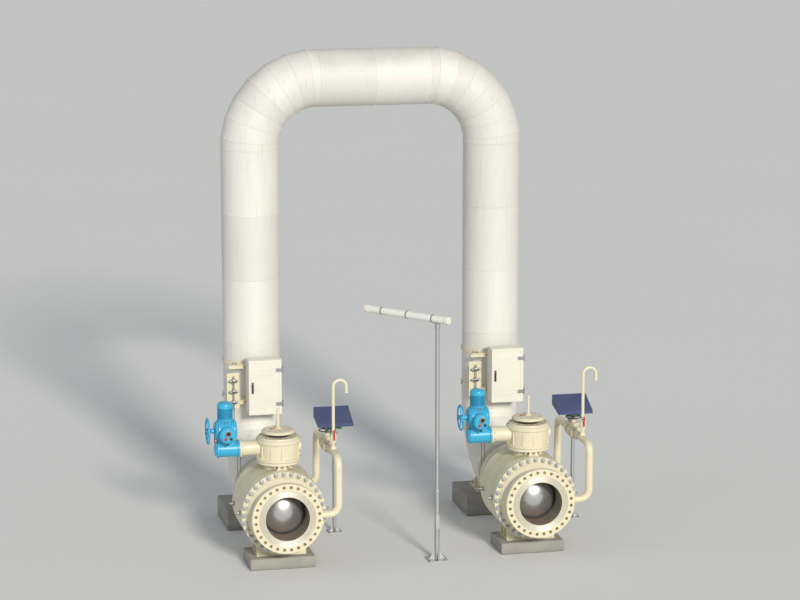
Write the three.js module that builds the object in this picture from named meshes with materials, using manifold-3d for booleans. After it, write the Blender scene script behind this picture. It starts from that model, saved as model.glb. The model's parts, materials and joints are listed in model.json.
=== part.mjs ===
// Insulated overhead pipe loop of a gas regulating station, with a ball valve station at each foot.
// Millimetres, +Z up. X runs along the loop and each valve station reaches towards -Y.
// The ground is at Z = 0, and the origin is under the middle of the whole object.

import * as THREE from 'three';
import { mergeVertices } from 'three/addons/utils/BufferGeometryUtils.js';
import Module from 'manifold-3d';

const wasm = await Module();
wasm.setup();

// Clearance between pieces that touch
const GAP = 0.3;

// How many flats stand for a circle, from the large pipe down to small tube
const PIPE_SIDES = 32;
const HOUSING_SIDES = 20;
const CASE_SIDES = 16;
const POST_SIDES = 12;
const TUBE_SIDES = 8;

// Pipe loop: a 28 inch steel pipe in 100 mm of insulation under sheet cladding
const PIPE_RADIUS = 355.5;
const INSULATION = 100;
const CLAD_RADIUS = PIPE_RADIUS + INSULATION;
const BEND_RADIUS = 1067;
const LEG_SPACING = 3900;
const LOOP_HEIGHT = 7100;
const LINE_HEIGHT = 900;
const BEND_MITRES = 7;
const LEG_FOOT = LINE_HEIGHT + BEND_RADIUS;
const LEG_HEAD = LOOP_HEIGHT - BEND_RADIUS;

// Valve: face to face length, flanges, body barrel and bore, measured along the line from its inlet face
const NECK_LENGTH = 430;
const FLANGE_RADIUS = 536;
const FLANGE_THICKNESS = 110;
const HUB_RADIUS = 420;
const HUB_LENGTH = 80;
const VALVE_LENGTH = 1550;
const BARREL_RADIUS = 640;
const BARREL_START = 330;
const BARREL_END = 1150;
const SHOULDER_LENGTH = 70;
const BORE_RADIUS = 335;
const BALL_RADIUS = 480;
const VALVE_INLET = BEND_RADIUS + NECK_LENGTH + FLANGE_THICKNESS;
const VALVE_CENTRE = VALVE_INLET + VALVE_LENGTH / 2;

// Valve top works: bonnet, worm gear drum, cap and position rod, as heights above the ground
const BONNET_RADIUS = 230;
const BONNET_FLANGE_RADIUS = 330;
const BONNET_TOP = 1640;
const BONNET_FLANGE = 45;
const BONNET_DEPTH = 120;
const DRUM_RADIUS = 340;
const DRUM_TOP = 2000;
const DRUM_CHAMFER = 40;
const CAP_NECK_RADIUS = 150;
const CAP_NECK = 45;
const CAP_RADIUS = 250;
const CAP_THICKNESS = 60;
const ROD_RADIUS = 22;
const ROD_TOP = 2420;

// Electric actuator, on the left of the drum
const WORM_HEIGHT = 1830;
const WORM_RADIUS = 135;
const WORM_END = 600;
const ACTUATOR_START = 640;
const ACTUATOR_LENGTH = 330;
const ACTUATOR_RADIUS = 165;
const ACTUATOR_HEIGHT = 2120;
const LINK_WIDTH = 220;
const LINK_INSET = 30;
const MOTOR_RADIUS = 120;
const MOTOR_TOP = 2560;
const MOTOR_SHOULDER = 50;
const MOTOR_CROWN = 12;
const CONTROLS_FRONT = 330;
const CONTROLS_RADIUS = 125;
const CONTROLS_DROP = 20;
const BOSS_RADIUS = 40;
const WHEEL_RADIUS = 190;
const WHEEL_RIM = 14;
const WHEEL_HUB = 34;
const WHEEL_WEB = 8;
const SHAFT_BOSS = 60;
const WHEEL_CLEARANCE = 6;
const WHEEL_FACE = -(ACTUATOR_START + ACTUATOR_LENGTH + SHAFT_BOSS + WHEEL_CLEARANCE);

// Supports
const PLINTH_SIDE = 1000;
const PLINTH_HEIGHT = 320;
const TRUNNION_RADIUS = 203;
const TRUNNION_SIDES = 24;
const TRUNNION_TOP = 1160;
const BASE_PLATE = 30;
const BASE_MARGIN = 60;
const SADDLE_WIDTH = 760;
const SADDLE_LENGTH = 420;
const SADDLE_REACH = 0.72;
const VALVE_PLINTH_HEIGHT = 180;
const VALVE_PLINTH_MARGIN = [120, 140];

// Instrument enclosure on the front of each leg
const BOX_WIDTH = 520;
const BOX_DEPTH = 260;
const BOX_BOTTOM = 1950;
const BOX_TOP = 2820;
const BOX_WALL = 20;
const BOX_OFFSET = 70;
const BOX_STANDOFF = 120;
const DOOR_THICKNESS = 28;
const DOOR_CLEARANCE = 5;
const HINGE_RADIUS = 12;
const HINGE_PIN = 5;
const HINGE_HOLE = 6.5;
const KNUCKLE_LENGTH = 70;
const LUG_LENGTH = 14;
const LUG_GAP = 2;
const PIN_OVERRUN = 10;
const STRAP_REACH = 30;
const HINGE_INSET = 130;
const LATCH_INSET = 60;
const LATCH_WIDTH = 32;
const LATCH_HEIGHT = 180;
const LATCH_DEPTH = 26;

// Rack round the leg: two bands, the bars that stand the rails off, and the rails behind the enclosure
const BAND_HEIGHT = 60;
const BAND_THICKNESS = 10;
const BAND_LOW = 2070;
const BAND_HIGH = 2640;
const RAIL_WIDTH = 50;
const RAIL_DEPTH = 22;
const RAIL_SPREAD = 120;
const BAR_END = 60;

// Instrument manifold to the left of the enclosure
const MANIFOLD_OFFSET = -390;
const MANIFOLD_PLATE = [200, 14, 560];
const MANIFOLD_BOTTOM = 2010;
const MANIFOLD_REACH = 130;
const MANIFOLD_AXIS = 70;
const MANIFOLD_VALVES = 3;
const MANIFOLD_FIRST = 110;
const MANIFOLD_PITCH = 170;
const MANIFOLD_BODY = 38;
const MANIFOLD_ARM = 20;
const MANIFOLD_TUBE = 18;

// Bypass line round the valve, with its small valve and a vent riser on the level run
const BYPASS_RADIUS = 57;
const BYPASS_BEND = 150;
const BYPASS_SIDE = 800;
const BYPASS_HEIGHT = 1750;
const BYPASS_START = 170;
const BYPASS_STEM = 34;
const BYPASS_STEM_TOP = 210;
const BYPASS_WHEEL = 130;
const BYPASS_WHEEL_THICKNESS = 25;
const VENT_Y = -2620;
const VENT_RADIUS = 24;
const VENT_TOP = 2860;
const VENT_REACH = 200;
const VENT_DROP = 200;
const VENT_COLLAR = [48, 140, 300];

// Transmitter under a sunshade, on its own post
const POST_X = 1150;
const POST_Y = -900;
const POST_RADIUS = 30;
const POST_HEIGHT = 1560;
const POST_PLATE = [220, 14];
const ARM_WIDTH = 32;
const ARM_DEPTH = 40;
const ARM_REACH = 250;
const ARM_DROP = 20;
const RISER_DEPTH = 25;
const RISER_TOP = 330;
const HEAD_HEIGHT = 170;
const HEAD_LENGTH = 240;
const HEAD_RADIUS = 68;
const CELL_HEIGHT = 60;
const CELL_LENGTH = 180;
const CELL_RADIUS = 48;
const NECK_RADIUS = 38;
const HOOD_WIDTH = 560;
const HOOD_LENGTH = 420;
const HOOD_SHEET = 8;
const HOOD_TOP = 420;
const HOOD_BACK = 150;
const HOOD_FALL = 190;
const HOOD_LIP = 60;

// Tube lamp on a pole between the legs, level and turned back out of the loop's plane
const LAMP_X = 425;
const LAMP_Y = -2750;
const LAMP_POLE_RADIUS = 38;
const LAMP_HEIGHT = 3750;
const LAMP_TURN = THREE.MathUtils.degToRad(50);
const LAMP_LENGTH = 1600;
const LAMP_RADIUS = 62;
const LAMP_CAP = 30;
const LAMP_PLATE = [300, 20];
const LAMP_SOCKET = [120, 90];
const LAMP_NEAR_SHARE = 0.14;

const COLOURS = {
  cladding: [0xe9e7da, 0.45, 0.55],
  cream: [0xeee6c6, 0.45, 0.0],
  blue: [0x35b4e0, 0.4, 0.0],
  enclosure: [0xf1ecdc, 0.5, 0.0],
  concrete: [0xb3aea2, 0.95, 0.0],
  navy: [0x3c4a70, 0.5, 0.0],
  green: [0x5f9c62, 0.5, 0.0],
  galvanised: [0xc6c8c4, 0.45, 0.8],
  lamp: [0xf4f1e6, 0.35, 0.0],
};

// Geometry helpers

function sealed(geometry) {
  const bare = geometry.clone();
  bare.deleteAttribute('normal');
  bare.deleteAttribute('uv');
  const merged = mergeVertices(bare, 1e-3);
  const corners = merged.index.array;
  const kept = [];
  for (let i = 0; i < corners.length; i += 3) {
    const [a, b, c] = [corners[i], corners[i + 1], corners[i + 2]];
    if (a !== b && b !== c && c !== a) kept.push(a, b, c);
  }
  merged.setIndex(kept);
  return facingOut(merged);
}

function facingOut(geometry) {
  const place = geometry.attributes.position;
  const corners = geometry.index.array;
  const [a, b, c] = [new THREE.Vector3(), new THREE.Vector3(), new THREE.Vector3()];
  let volume = 0;
  for (let i = 0; i < corners.length; i += 3) {
    a.fromBufferAttribute(place, corners[i]);
    b.fromBufferAttribute(place, corners[i + 1]);
    c.fromBufferAttribute(place, corners[i + 2]);
    volume += a.dot(b.cross(c)) / 6;
  }
  if (volume < 0) {
    const turned = [];
    for (let i = 0; i < corners.length; i += 3) turned.push(corners[i], corners[i + 2], corners[i + 1]);
    geometry.setIndex(turned);
  }
  return geometry;
}

function solidOf(geometry) {
  const shape = sealed(geometry);
  return new wasm.Manifold(new wasm.Mesh({
    numProp: 3,
    vertProperties: new Float32Array(shape.attributes.position.array),
    triVerts: new Uint32Array(shape.index.array),
  }));
}

function geometryOf(solid) {
  const mesh = solid.getMesh();
  const geometry = new THREE.BufferGeometry();
  geometry.setAttribute('position', new THREE.BufferAttribute(new Float32Array(mesh.vertProperties), 3));
  geometry.setIndex(new THREE.BufferAttribute(new Uint32Array(mesh.triVerts), 1));
  return geometry;
}

function join(...pieces) {
  return geometryOf(pieces.map(solidOf).reduce((whole, piece) => whole.add(piece)));
}

function cut(piece, ...tools) {
  return geometryOf(tools.map(solidOf).reduce((whole, tool) => whole.subtract(tool), solidOf(piece)));
}

function vector(x, y, z) {
  return new THREE.Vector3(x, y, z);
}

function block(low, high) {
  const size = [high[0] - low[0], high[1] - low[1], high[2] - low[2]];
  const shape = new THREE.BoxGeometry(...size);
  return shape.translate(low[0] + size[0] / 2, low[1] + size[1] / 2, low[2] + size[2] / 2);
}

function rod(from, to, radius, sides = 12, endRadius = radius) {
  const start = vector(...from);
  const way = vector(...to).sub(start);
  const shape = new THREE.CylinderGeometry(endRadius, radius, way.length(), sides);
  shape.translate(0, way.length() / 2, 0);
  shape.applyQuaternion(new THREE.Quaternion().setFromUnitVectors(vector(0, 1, 0), way.normalize()));
  return shape.translate(...from);
}

// A turned shape: profile points are [radius, distance] along the direction from the start point.
function turned(profile, start, direction, sides) {
  const shape = new THREE.LatheGeometry(profile.map(([r, d]) => new THREE.Vector2(r, d)), sides);
  shape.applyQuaternion(new THREE.Quaternion().setFromUnitVectors(vector(0, 1, 0), vector(...direction)));
  return shape.translate(...start);
}

// A pipe through the given corners, with a bend at each inner one.
function bentPipe(corners, radius, bend, sides = 10, bendSteps = 4) {
  const points = corners.map((corner) => vector(...corner));
  const stations = [points[0].clone()];
  for (let i = 1; i < points.length - 1; i += 1) {
    const into = points[i].clone().sub(points[i - 1]).normalize();
    const out = points[i + 1].clone().sub(points[i]).normalize();
    const setback = bend * Math.tan(into.angleTo(out) / 2);
    const arc = new THREE.QuadraticBezierCurve3(
      points[i].clone().addScaledVector(into, -setback),
      points[i].clone(),
      points[i].clone().addScaledVector(out, setback),
    );
    stations.push(...arc.getPoints(bendSteps));
  }
  stations.push(points[points.length - 1].clone());
  return sweep(stations, radius, sides);
}

// A round bar along a run of stations, with each ring square to the run there.
function sweep(stations, radius, sides) {
  const last = stations.length - 1;
  const headings = stations.map((_, i) => (
    stations[Math.min(i + 1, last)].clone().sub(stations[Math.max(i - 1, 0)]).normalize()
  ));
  const frames = [new THREE.Quaternion().setFromUnitVectors(vector(0, 1, 0), headings[0])];
  for (let i = 1; i <= last; i += 1) {
    const turn = new THREE.Quaternion().setFromUnitVectors(headings[i - 1], headings[i]);
    frames.push(turn.multiply(frames[i - 1]));
  }
  const shape = new THREE.CylinderGeometry(radius, radius, last, sides, last);
  const place = shape.attributes.position;
  for (let i = 0; i < place.count; i += 1) {
    const level = Math.round(place.getY(i) + last / 2);
    const spot = vector(place.getX(i), 0, place.getZ(i)).applyQuaternion(frames[level]);
    spot.add(stations[level]);
    place.setXYZ(i, spot.x, spot.y, spot.z);
  }
  return shape;
}

// A quarter bend of mitred gores in the plane of the two given directions about the bend centre.
function goredBend(centre, startSide, endSide, radius) {
  const from = vector(...startSide);
  const to = vector(...endSide);
  const across = from.clone().cross(to);
  const gore = Math.PI / 2 / BEND_MITRES;
  const rings = BEND_MITRES + 1;
  const shape = new THREE.CylinderGeometry(radius, radius, rings, PIPE_SIDES, rings);
  const place = shape.attributes.position;
  for (let i = 0; i < place.count; i += 1) {
    const level = Math.round(place.getY(i) + rings / 2);
    const atEnd = level === 0 || level === rings;
    const angle = level === 0 ? 0 : Math.min((level - 0.5) * gore, Math.PI / 2);
    const reach = (BEND_RADIUS + place.getX(i)) / (atEnd ? 1 : Math.cos(gore / 2));
    const outward = from.clone().multiplyScalar(Math.cos(angle)).addScaledVector(to, Math.sin(angle));
    const spot = vector(...centre).addScaledVector(outward, reach).addScaledVector(across, place.getZ(i));
    place.setXYZ(i, spot.x, spot.y, spot.z);
  }
  return shape;
}

// Pieces of the loop

function leg() {
  return rod([0, 0, LEG_FOOT + GAP], [0, 0, LEG_HEAD - GAP], CLAD_RADIUS, PIPE_SIDES);
}

function topBend(inward) {
  return goredBend([inward * BEND_RADIUS, 0, LEG_HEAD], [-inward, 0, 0], [0, 0, 1], CLAD_RADIUS);
}

function footBend(radius = CLAD_RADIUS) {
  return goredBend([0, -BEND_RADIUS, LEG_FOOT], [0, 1, 0], [0, 0, -1], radius);
}

function topRun() {
  const reach = LEG_SPACING / 2 - BEND_RADIUS - GAP;
  return rod([-reach, 0, LOOP_HEIGHT], [reach, 0, LOOP_HEIGHT], CLAD_RADIUS, PIPE_SIDES);
}

// Pieces of the valve

const LINE_DIRECTION = [0, -1, 0];

function lineTurned(profile, distance) {
  return turned(profile, [0, -distance, LINE_HEIGHT], LINE_DIRECTION, PIPE_SIDES);
}

function inletNeck(swell = 0) {
  const end = NECK_LENGTH + FLANGE_THICKNESS - GAP;
  return lineTurned([
    [0, GAP],
    [PIPE_RADIUS + swell, GAP],
    [PIPE_RADIUS + swell, NECK_LENGTH - 2 * HUB_LENGTH],
    [HUB_RADIUS + swell, NECK_LENGTH - HUB_LENGTH],
    [HUB_RADIUS + swell, NECK_LENGTH - swell],
    [FLANGE_RADIUS + swell, NECK_LENGTH - swell],
    [FLANGE_RADIUS + swell, end],
    [0, end],
  ], BEND_RADIUS);
}

function valveBody(swell = 0) {
  const capEdge = Math.sqrt(BALL_RADIUS ** 2 - (BORE_RADIUS - GAP) ** 2);
  const cap = [1, 0.66, 0.33].map((share) => {
    const r = (BORE_RADIUS - GAP) * share;
    return [r, BARREL_END + Math.sqrt(BALL_RADIUS ** 2 - r ** 2) - capEdge];
  });
  return lineTurned([
    [0, 0],
    [FLANGE_RADIUS + swell, 0],
    [FLANGE_RADIUS + swell, FLANGE_THICKNESS],
    [HUB_RADIUS + swell, FLANGE_THICKNESS],
    [HUB_RADIUS + swell, FLANGE_THICKNESS + HUB_LENGTH],
    [BARREL_RADIUS + swell, BARREL_START],
    [BARREL_RADIUS + swell, BARREL_END],
    ...cap,
    [0, BARREL_END + BALL_RADIUS - capEdge],
  ], VALVE_INLET);
}

function outletOutline(swell = 0) {
  const shoulder = BARREL_END + SHOULDER_LENGTH;
  const flange = VALVE_LENGTH - FLANGE_THICKNESS;
  return [
    [BARREL_RADIUS + swell, BARREL_END + GAP],
    [BARREL_RADIUS + swell, shoulder + swell],
    [HUB_RADIUS + swell, flange - HUB_LENGTH],
    [HUB_RADIUS + swell, flange - swell],
    [FLANGE_RADIUS + swell, flange - swell],
    [FLANGE_RADIUS + swell, VALVE_LENGTH],
  ];
}

function outletAdapter() {
  const start = [BORE_RADIUS, BARREL_END + GAP];
  return lineTurned([start, ...outletOutline(), [BORE_RADIUS, VALVE_LENGTH], start], VALVE_INLET);
}

const UP = [0, 0, 1];

function stemTurned(profile) {
  return turned(profile, [0, -VALVE_CENTRE, 0], UP, HOUSING_SIDES);
}

function bonnet() {
  const inBody = LINE_HEIGHT + BARREL_RADIUS - BONNET_DEPTH;
  const shape = stemTurned([
    [0, inBody],
    [BONNET_RADIUS, inBody],
    [BONNET_RADIUS, BONNET_TOP - BONNET_FLANGE],
    [BONNET_FLANGE_RADIUS, BONNET_TOP - BONNET_FLANGE],
    [BONNET_FLANGE_RADIUS, BONNET_TOP],
    [0, BONNET_TOP],
  ]);
  return cut(shape, valveBody(GAP));
}

function gearDrum() {
  const y = -VALVE_CENTRE;
  const capBase = DRUM_TOP + CAP_NECK;
  const capTop = capBase + CAP_THICKNESS;
  const drum = stemTurned([
    [0, BONNET_TOP + GAP],
    [DRUM_RADIUS, BONNET_TOP + GAP],
    [DRUM_RADIUS, DRUM_TOP - DRUM_CHAMFER],
    [DRUM_RADIUS - DRUM_CHAMFER, DRUM_TOP],
    [CAP_NECK_RADIUS, DRUM_TOP],
    [CAP_NECK_RADIUS, capBase],
    [CAP_RADIUS, capBase],
    [CAP_RADIUS, capTop],
    [ROD_RADIUS, capTop],
    [ROD_RADIUS, ROD_TOP],
    [0, ROD_TOP],
  ]);
  return join(drum, rod([0, y, WORM_HEIGHT], [-WORM_END, y, WORM_HEIGHT], WORM_RADIUS, CASE_SIDES));
}

function actuator() {
  const y = -VALVE_CENTRE;
  const start = -ACTUATOR_START;
  const end = start - ACTUATOR_LENGTH;
  const middle = (start + end) / 2;
  const front = y - CONTROLS_FRONT;
  const controlsZ = ACTUATOR_HEIGHT - CONTROLS_DROP;
  const input = rod([-WORM_END - GAP, y, WORM_HEIGHT], [end, y, WORM_HEIGHT], WORM_RADIUS, CASE_SIDES);
  const gearCase = rod([start, y, ACTUATOR_HEIGHT], [end, y, ACTUATOR_HEIGHT], ACTUATOR_RADIUS, CASE_SIDES);
  const link = block(
    [end + LINK_INSET, y - LINK_WIDTH / 2, WORM_HEIGHT],
    [start - LINK_INSET, y + LINK_WIDTH / 2, ACTUATOR_HEIGHT],
  );
  const motor = turned([
    [0, ACTUATOR_HEIGHT],
    [MOTOR_RADIUS, ACTUATOR_HEIGHT],
    [MOTOR_RADIUS, MOTOR_TOP - MOTOR_SHOULDER],
    [MOTOR_RADIUS * 0.75, MOTOR_TOP - MOTOR_CROWN],
    [0, MOTOR_TOP],
  ], [middle, y, 0], UP, CASE_SIDES);
  const controls = rod([middle, y, controlsZ], [middle, front, controlsZ], CONTROLS_RADIUS, CASE_SIDES);
  const bossEnd = end - SHAFT_BOSS;
  const boss = rod([end + 1, y, ACTUATOR_HEIGHT], [bossEnd, y, ACTUATOR_HEIGHT], BOSS_RADIUS, TUBE_SIDES);
  return join(input, gearCase, link, motor, controls, boss);
}

function handwheel() {
  const hubTop = WHEEL_HUB + WHEEL_RIM;
  return turned([
    [0, 0],
    [WHEEL_HUB, 0],
    [WHEEL_HUB, WHEEL_HUB],
    [WHEEL_RADIUS - WHEEL_RIM, WHEEL_HUB],
    [WHEEL_RADIUS - WHEEL_RIM, WHEEL_HUB - WHEEL_RIM],
    [WHEEL_RADIUS, WHEEL_HUB - WHEEL_RIM],
    [WHEEL_RADIUS + WHEEL_RIM, WHEEL_HUB],
    [WHEEL_RADIUS + WHEEL_RIM, WHEEL_HUB + WHEEL_WEB],
    [WHEEL_RADIUS, hubTop],
    [WHEEL_RADIUS - WHEEL_RIM, hubTop],
    [WHEEL_RADIUS - WHEEL_RIM, WHEEL_HUB + WHEEL_WEB],
    [WHEEL_HUB, WHEEL_HUB + WHEEL_WEB],
    [WHEEL_HUB, hubTop + WHEEL_RIM],
    [0, hubTop + WHEEL_RIM],
  ], [WHEEL_FACE, -VALVE_CENTRE, ACTUATOR_HEIGHT], [-1, 0, 0], HOUSING_SIDES);
}

// Supports

function footPlinth() {
  const half = PLINTH_SIDE / 2;
  return block([-half, -half, 0], [half, half, PLINTH_HEIGHT]);
}

function trunnion() {
  const foot = PLINTH_HEIGHT + GAP;
  const half = TRUNNION_RADIUS + BASE_MARGIN;
  const plate = block([-half, -half, foot], [half, half, foot + BASE_PLATE]);
  const stub = rod([0, 0, foot], [0, 0, TRUNNION_TOP], TRUNNION_RADIUS, TRUNNION_SIDES);
  return cut(join(plate, stub), footBend(CLAD_RADIUS + GAP));
}

function valvePlinth() {
  const halfX = SADDLE_WIDTH / 2 + VALVE_PLINTH_MARGIN[0];
  const halfY = SADDLE_LENGTH / 2 + VALVE_PLINTH_MARGIN[1];
  return block([-halfX, -VALVE_CENTRE - halfY, 0], [halfX, -VALVE_CENTRE + halfY, VALVE_PLINTH_HEIGHT]);
}

function valveSaddle() {
  const foot = VALVE_PLINTH_HEIGHT + GAP;
  const halfX = SADDLE_WIDTH / 2;
  const halfY = SADDLE_LENGTH / 2;
  const chair = block(
    [-halfX, -VALVE_CENTRE - halfY, foot],
    [halfX, -VALVE_CENTRE + halfY, LINE_HEIGHT - BARREL_RADIUS * SADDLE_REACH],
  );
  return cut(chair, valveBody(GAP));
}

// Instrument enclosure, its door and the rack that carries them

const BOX_BACK = -(CLAD_RADIUS + BOX_STANDOFF);
const BOX_FRONT = BOX_BACK - BOX_DEPTH;
const BOX_LEFT = BOX_OFFSET - BOX_WIDTH / 2;
const BOX_RIGHT = BOX_OFFSET + BOX_WIDTH / 2;
const HINGE_X = BOX_RIGHT + HINGE_RADIUS + DOOR_CLEARANCE;
const HINGE_Y = BOX_FRONT - DOOR_CLEARANCE / 2;
const KNUCKLES = [BOX_BOTTOM + HINGE_INSET, BOX_TOP - HINGE_INSET - KNUCKLE_LENGTH];

function enclosure() {
  const shell = block([BOX_LEFT, BOX_FRONT, BOX_BOTTOM], [BOX_RIGHT, BOX_BACK, BOX_TOP]);
  const room = block(
    [BOX_LEFT + BOX_WALL, BOX_FRONT - 1, BOX_BOTTOM + BOX_WALL],
    [BOX_RIGHT - BOX_WALL, BOX_BACK - BOX_WALL, BOX_TOP - BOX_WALL],
  );
  const lugs = [];
  for (const z of KNUCKLES) {
    const top = z + KNUCKLE_LENGTH;
    for (const low of [z - LUG_GAP - LUG_LENGTH, top + LUG_GAP]) {
      const high = low + LUG_LENGTH;
      lugs.push(rod([HINGE_X, HINGE_Y, low], [HINGE_X, HINGE_Y, high], HINGE_RADIUS, TUBE_SIDES));
      lugs.push(block([BOX_RIGHT - 2, HINGE_Y + 4, low], [HINGE_X, HINGE_Y + HINGE_RADIUS, high]));
    }
    const [foot, head] = [z - PIN_OVERRUN, top + PIN_OVERRUN];
    lugs.push(rod([HINGE_X, HINGE_Y, foot], [HINGE_X, HINGE_Y, head], HINGE_PIN, TUBE_SIDES));
  }
  return join(cut(shell, room), ...lugs);
}

function enclosureDoor() {
  const back = BOX_FRONT - DOOR_CLEARANCE;
  const front = back - DOOR_THICKNESS;
  const middle = (BOX_BOTTOM + BOX_TOP) / 2;
  const panel = block([BOX_LEFT, front, BOX_BOTTOM], [BOX_RIGHT, back, BOX_TOP]);
  const latchX = BOX_LEFT + LATCH_INSET;
  const latch = block(
    [latchX - LATCH_WIDTH / 2, front - LATCH_DEPTH, middle - LATCH_HEIGHT / 2],
    [latchX + LATCH_WIDTH / 2, front + 1, middle + LATCH_HEIGHT / 2],
  );
  const knuckles = KNUCKLES.map((z) => {
    const top = z + KNUCKLE_LENGTH;
    const barrel = rod([HINGE_X, HINGE_Y, z], [HINGE_X, HINGE_Y, top], HINGE_RADIUS, TUBE_SIDES);
    const strap = block([BOX_RIGHT - STRAP_REACH, front + 2, z], [HINGE_X, back - 2, top]);
    const tie = block([HINGE_X - HINGE_PIN, front + 2, z], [HINGE_X + HINGE_PIN, HINGE_Y, top]);
    return join(barrel, strap, tie);
  });
  const holes = KNUCKLES.map((z) => {
    const top = z + KNUCKLE_LENGTH + PIN_OVERRUN;
    return rod([HINGE_X, HINGE_Y, z - PIN_OVERRUN], [HINGE_X, HINGE_Y, top], HINGE_HOLE, TUBE_SIDES);
  });
  return cut(join(panel, latch, ...knuckles), ...holes);
}

const RAIL_BACK = BOX_BACK + GAP;

// A band round the leg, with the bars that stand the level rail off it
function rackBand(z) {
  const inner = CLAD_RADIUS + GAP;
  const outer = inner + BAND_THICKNESS;
  const top = z + BAND_HEIGHT;
  const band = turned([
    [inner, 0], [outer, 0], [outer, BAND_HEIGHT], [inner, BAND_HEIGHT], [inner, 0],
  ], [0, 0, z], UP, PIPE_SIDES);
  const bars = [MANIFOLD_OFFSET + BAR_END, BOX_OFFSET - RAIL_SPREAD, BOX_OFFSET + RAIL_SPREAD].map((x) => {
    const skin = -Math.sqrt(outer ** 2 - x ** 2);
    return block([x - RAIL_WIDTH / 2, RAIL_BACK, z], [x + RAIL_WIDTH / 2, skin + BAR_END, top]);
  });
  const rail = block(
    [MANIFOLD_OFFSET - BAR_END, RAIL_BACK, z],
    [BOX_OFFSET + RAIL_SPREAD + RAIL_WIDTH, RAIL_BACK + RAIL_DEPTH, top],
  );
  return [band, ...bars, rail];
}

// Three instrument valves on a plate, tied by an upright tube
function manifold() {
  const [width, thickness, height] = MANIFOLD_PLATE;
  const x = MANIFOLD_OFFSET;
  const y = RAIL_BACK - MANIFOLD_AXIS;
  const top = MANIFOLD_BOTTOM + height;
  const face = RAIL_BACK - thickness;
  const pieces = [block([x - width / 2, face, MANIFOLD_BOTTOM], [x + width / 2, RAIL_BACK + 2, top])];
  for (let i = 0; i < MANIFOLD_VALVES; i += 1) {
    const z = MANIFOLD_BOTTOM + MANIFOLD_FIRST + i * MANIFOLD_PITCH;
    const arm = MANIFOLD_AXIS;
    pieces.push(rod([x, RAIL_BACK, z], [x, RAIL_BACK - MANIFOLD_REACH, z], MANIFOLD_BODY, TUBE_SIDES));
    pieces.push(rod([x - arm, y, z], [x + arm, y, z], MANIFOLD_ARM, TUBE_SIDES));
  }
  const [tubeFoot, tubeHead] = [MANIFOLD_BOTTOM - BAR_END / 2, top - BAR_END / 2];
  pieces.push(rod([x, y, tubeFoot], [x, y, tubeHead], MANIFOLD_TUBE, TUBE_SIDES));
  return pieces;
}

function instrumentRack() {
  const uprights = [BOX_OFFSET - RAIL_SPREAD, BOX_OFFSET + RAIL_SPREAD].map((x) => block(
    [x - RAIL_WIDTH / 2, RAIL_BACK, BAND_LOW],
    [x + RAIL_WIDTH / 2, RAIL_BACK + RAIL_DEPTH, BAND_HIGH + BAND_HEIGHT],
  ));
  const rack = join(...rackBand(BAND_LOW), ...rackBand(BAND_HIGH), ...uprights, ...manifold());
  const legSpace = rod([0, 0, BAND_LOW - BAR_END], [0, 0, BOX_TOP + BAR_END], CLAD_RADIUS + GAP, PIPE_SIDES);
  return cut(rack, legSpace);
}

// Bypass line from the inlet neck to the outlet hub

function bypassValve(x, y) {
  const stemTop = BYPASS_HEIGHT + BYPASS_STEM_TOP;
  const wheelTop = stemTop + BYPASS_WHEEL_THICKNESS;
  const half = [[105, 0], [105, 40], [70, 110], [95, 120], [95, 150], [0, 150]];
  const mirrored = half.slice(1).reverse().map(([r, d]) => [r, -d]);
  const body = turned([...mirrored, ...half], [x, y, BYPASS_HEIGHT], LINE_DIRECTION, POST_SIDES);
  const stem = rod([x, y, BYPASS_HEIGHT], [x, y, stemTop + 1], BYPASS_STEM, TUBE_SIDES);
  return [body, stem, rod([x, y, stemTop], [x, y, wheelTop], BYPASS_WHEEL, POST_SIDES)];
}

function ventRiser(x) {
  const [collarRadius, collarLow, collarHigh] = VENT_COLLAR;
  const pipe = bentPipe([
    [x, VENT_Y, BYPASS_HEIGHT],
    [x, VENT_Y, VENT_TOP],
    [x + VENT_REACH, VENT_Y, VENT_TOP],
    [x + VENT_REACH, VENT_Y, VENT_TOP - VENT_DROP],
  ], VENT_RADIUS, VENT_REACH / 2 - 1, TUBE_SIDES, 3);
  const low = [x, VENT_Y, BYPASS_HEIGHT + collarLow];
  const high = [x, VENT_Y, BYPASS_HEIGHT + collarHigh];
  return [pipe, rod(low, high, collarRadius, TUBE_SIDES)];
}

function bypassLine() {
  const side = BYPASS_SIDE;
  const inletY = -(BEND_RADIUS + BYPASS_START);
  const outletY = -(VALVE_INLET + VALVE_LENGTH - FLANGE_THICKNESS - HUB_LENGTH / 2);
  const line = bentPipe([
    [0, inletY, LINE_HEIGHT],
    [side, inletY, LINE_HEIGHT],
    [side, inletY, BYPASS_HEIGHT],
    [side, outletY, BYPASS_HEIGHT],
    [side, outletY, LINE_HEIGHT],
    [0, outletY, LINE_HEIGHT],
  ], BYPASS_RADIUS, BYPASS_BEND, 10, 3);
  const outletSpace = lineTurned([[0, BARREL_END], ...outletOutline(GAP), [0, VALVE_LENGTH]], VALVE_INLET);
  const fittings = [...bypassValve(side, (inletY + outletY) / 2), ...ventRiser(side)];
  return cut(join(line, ...fittings), inletNeck(GAP), outletSpace);
}

// Transmitter post, transmitter and sunshade

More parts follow.
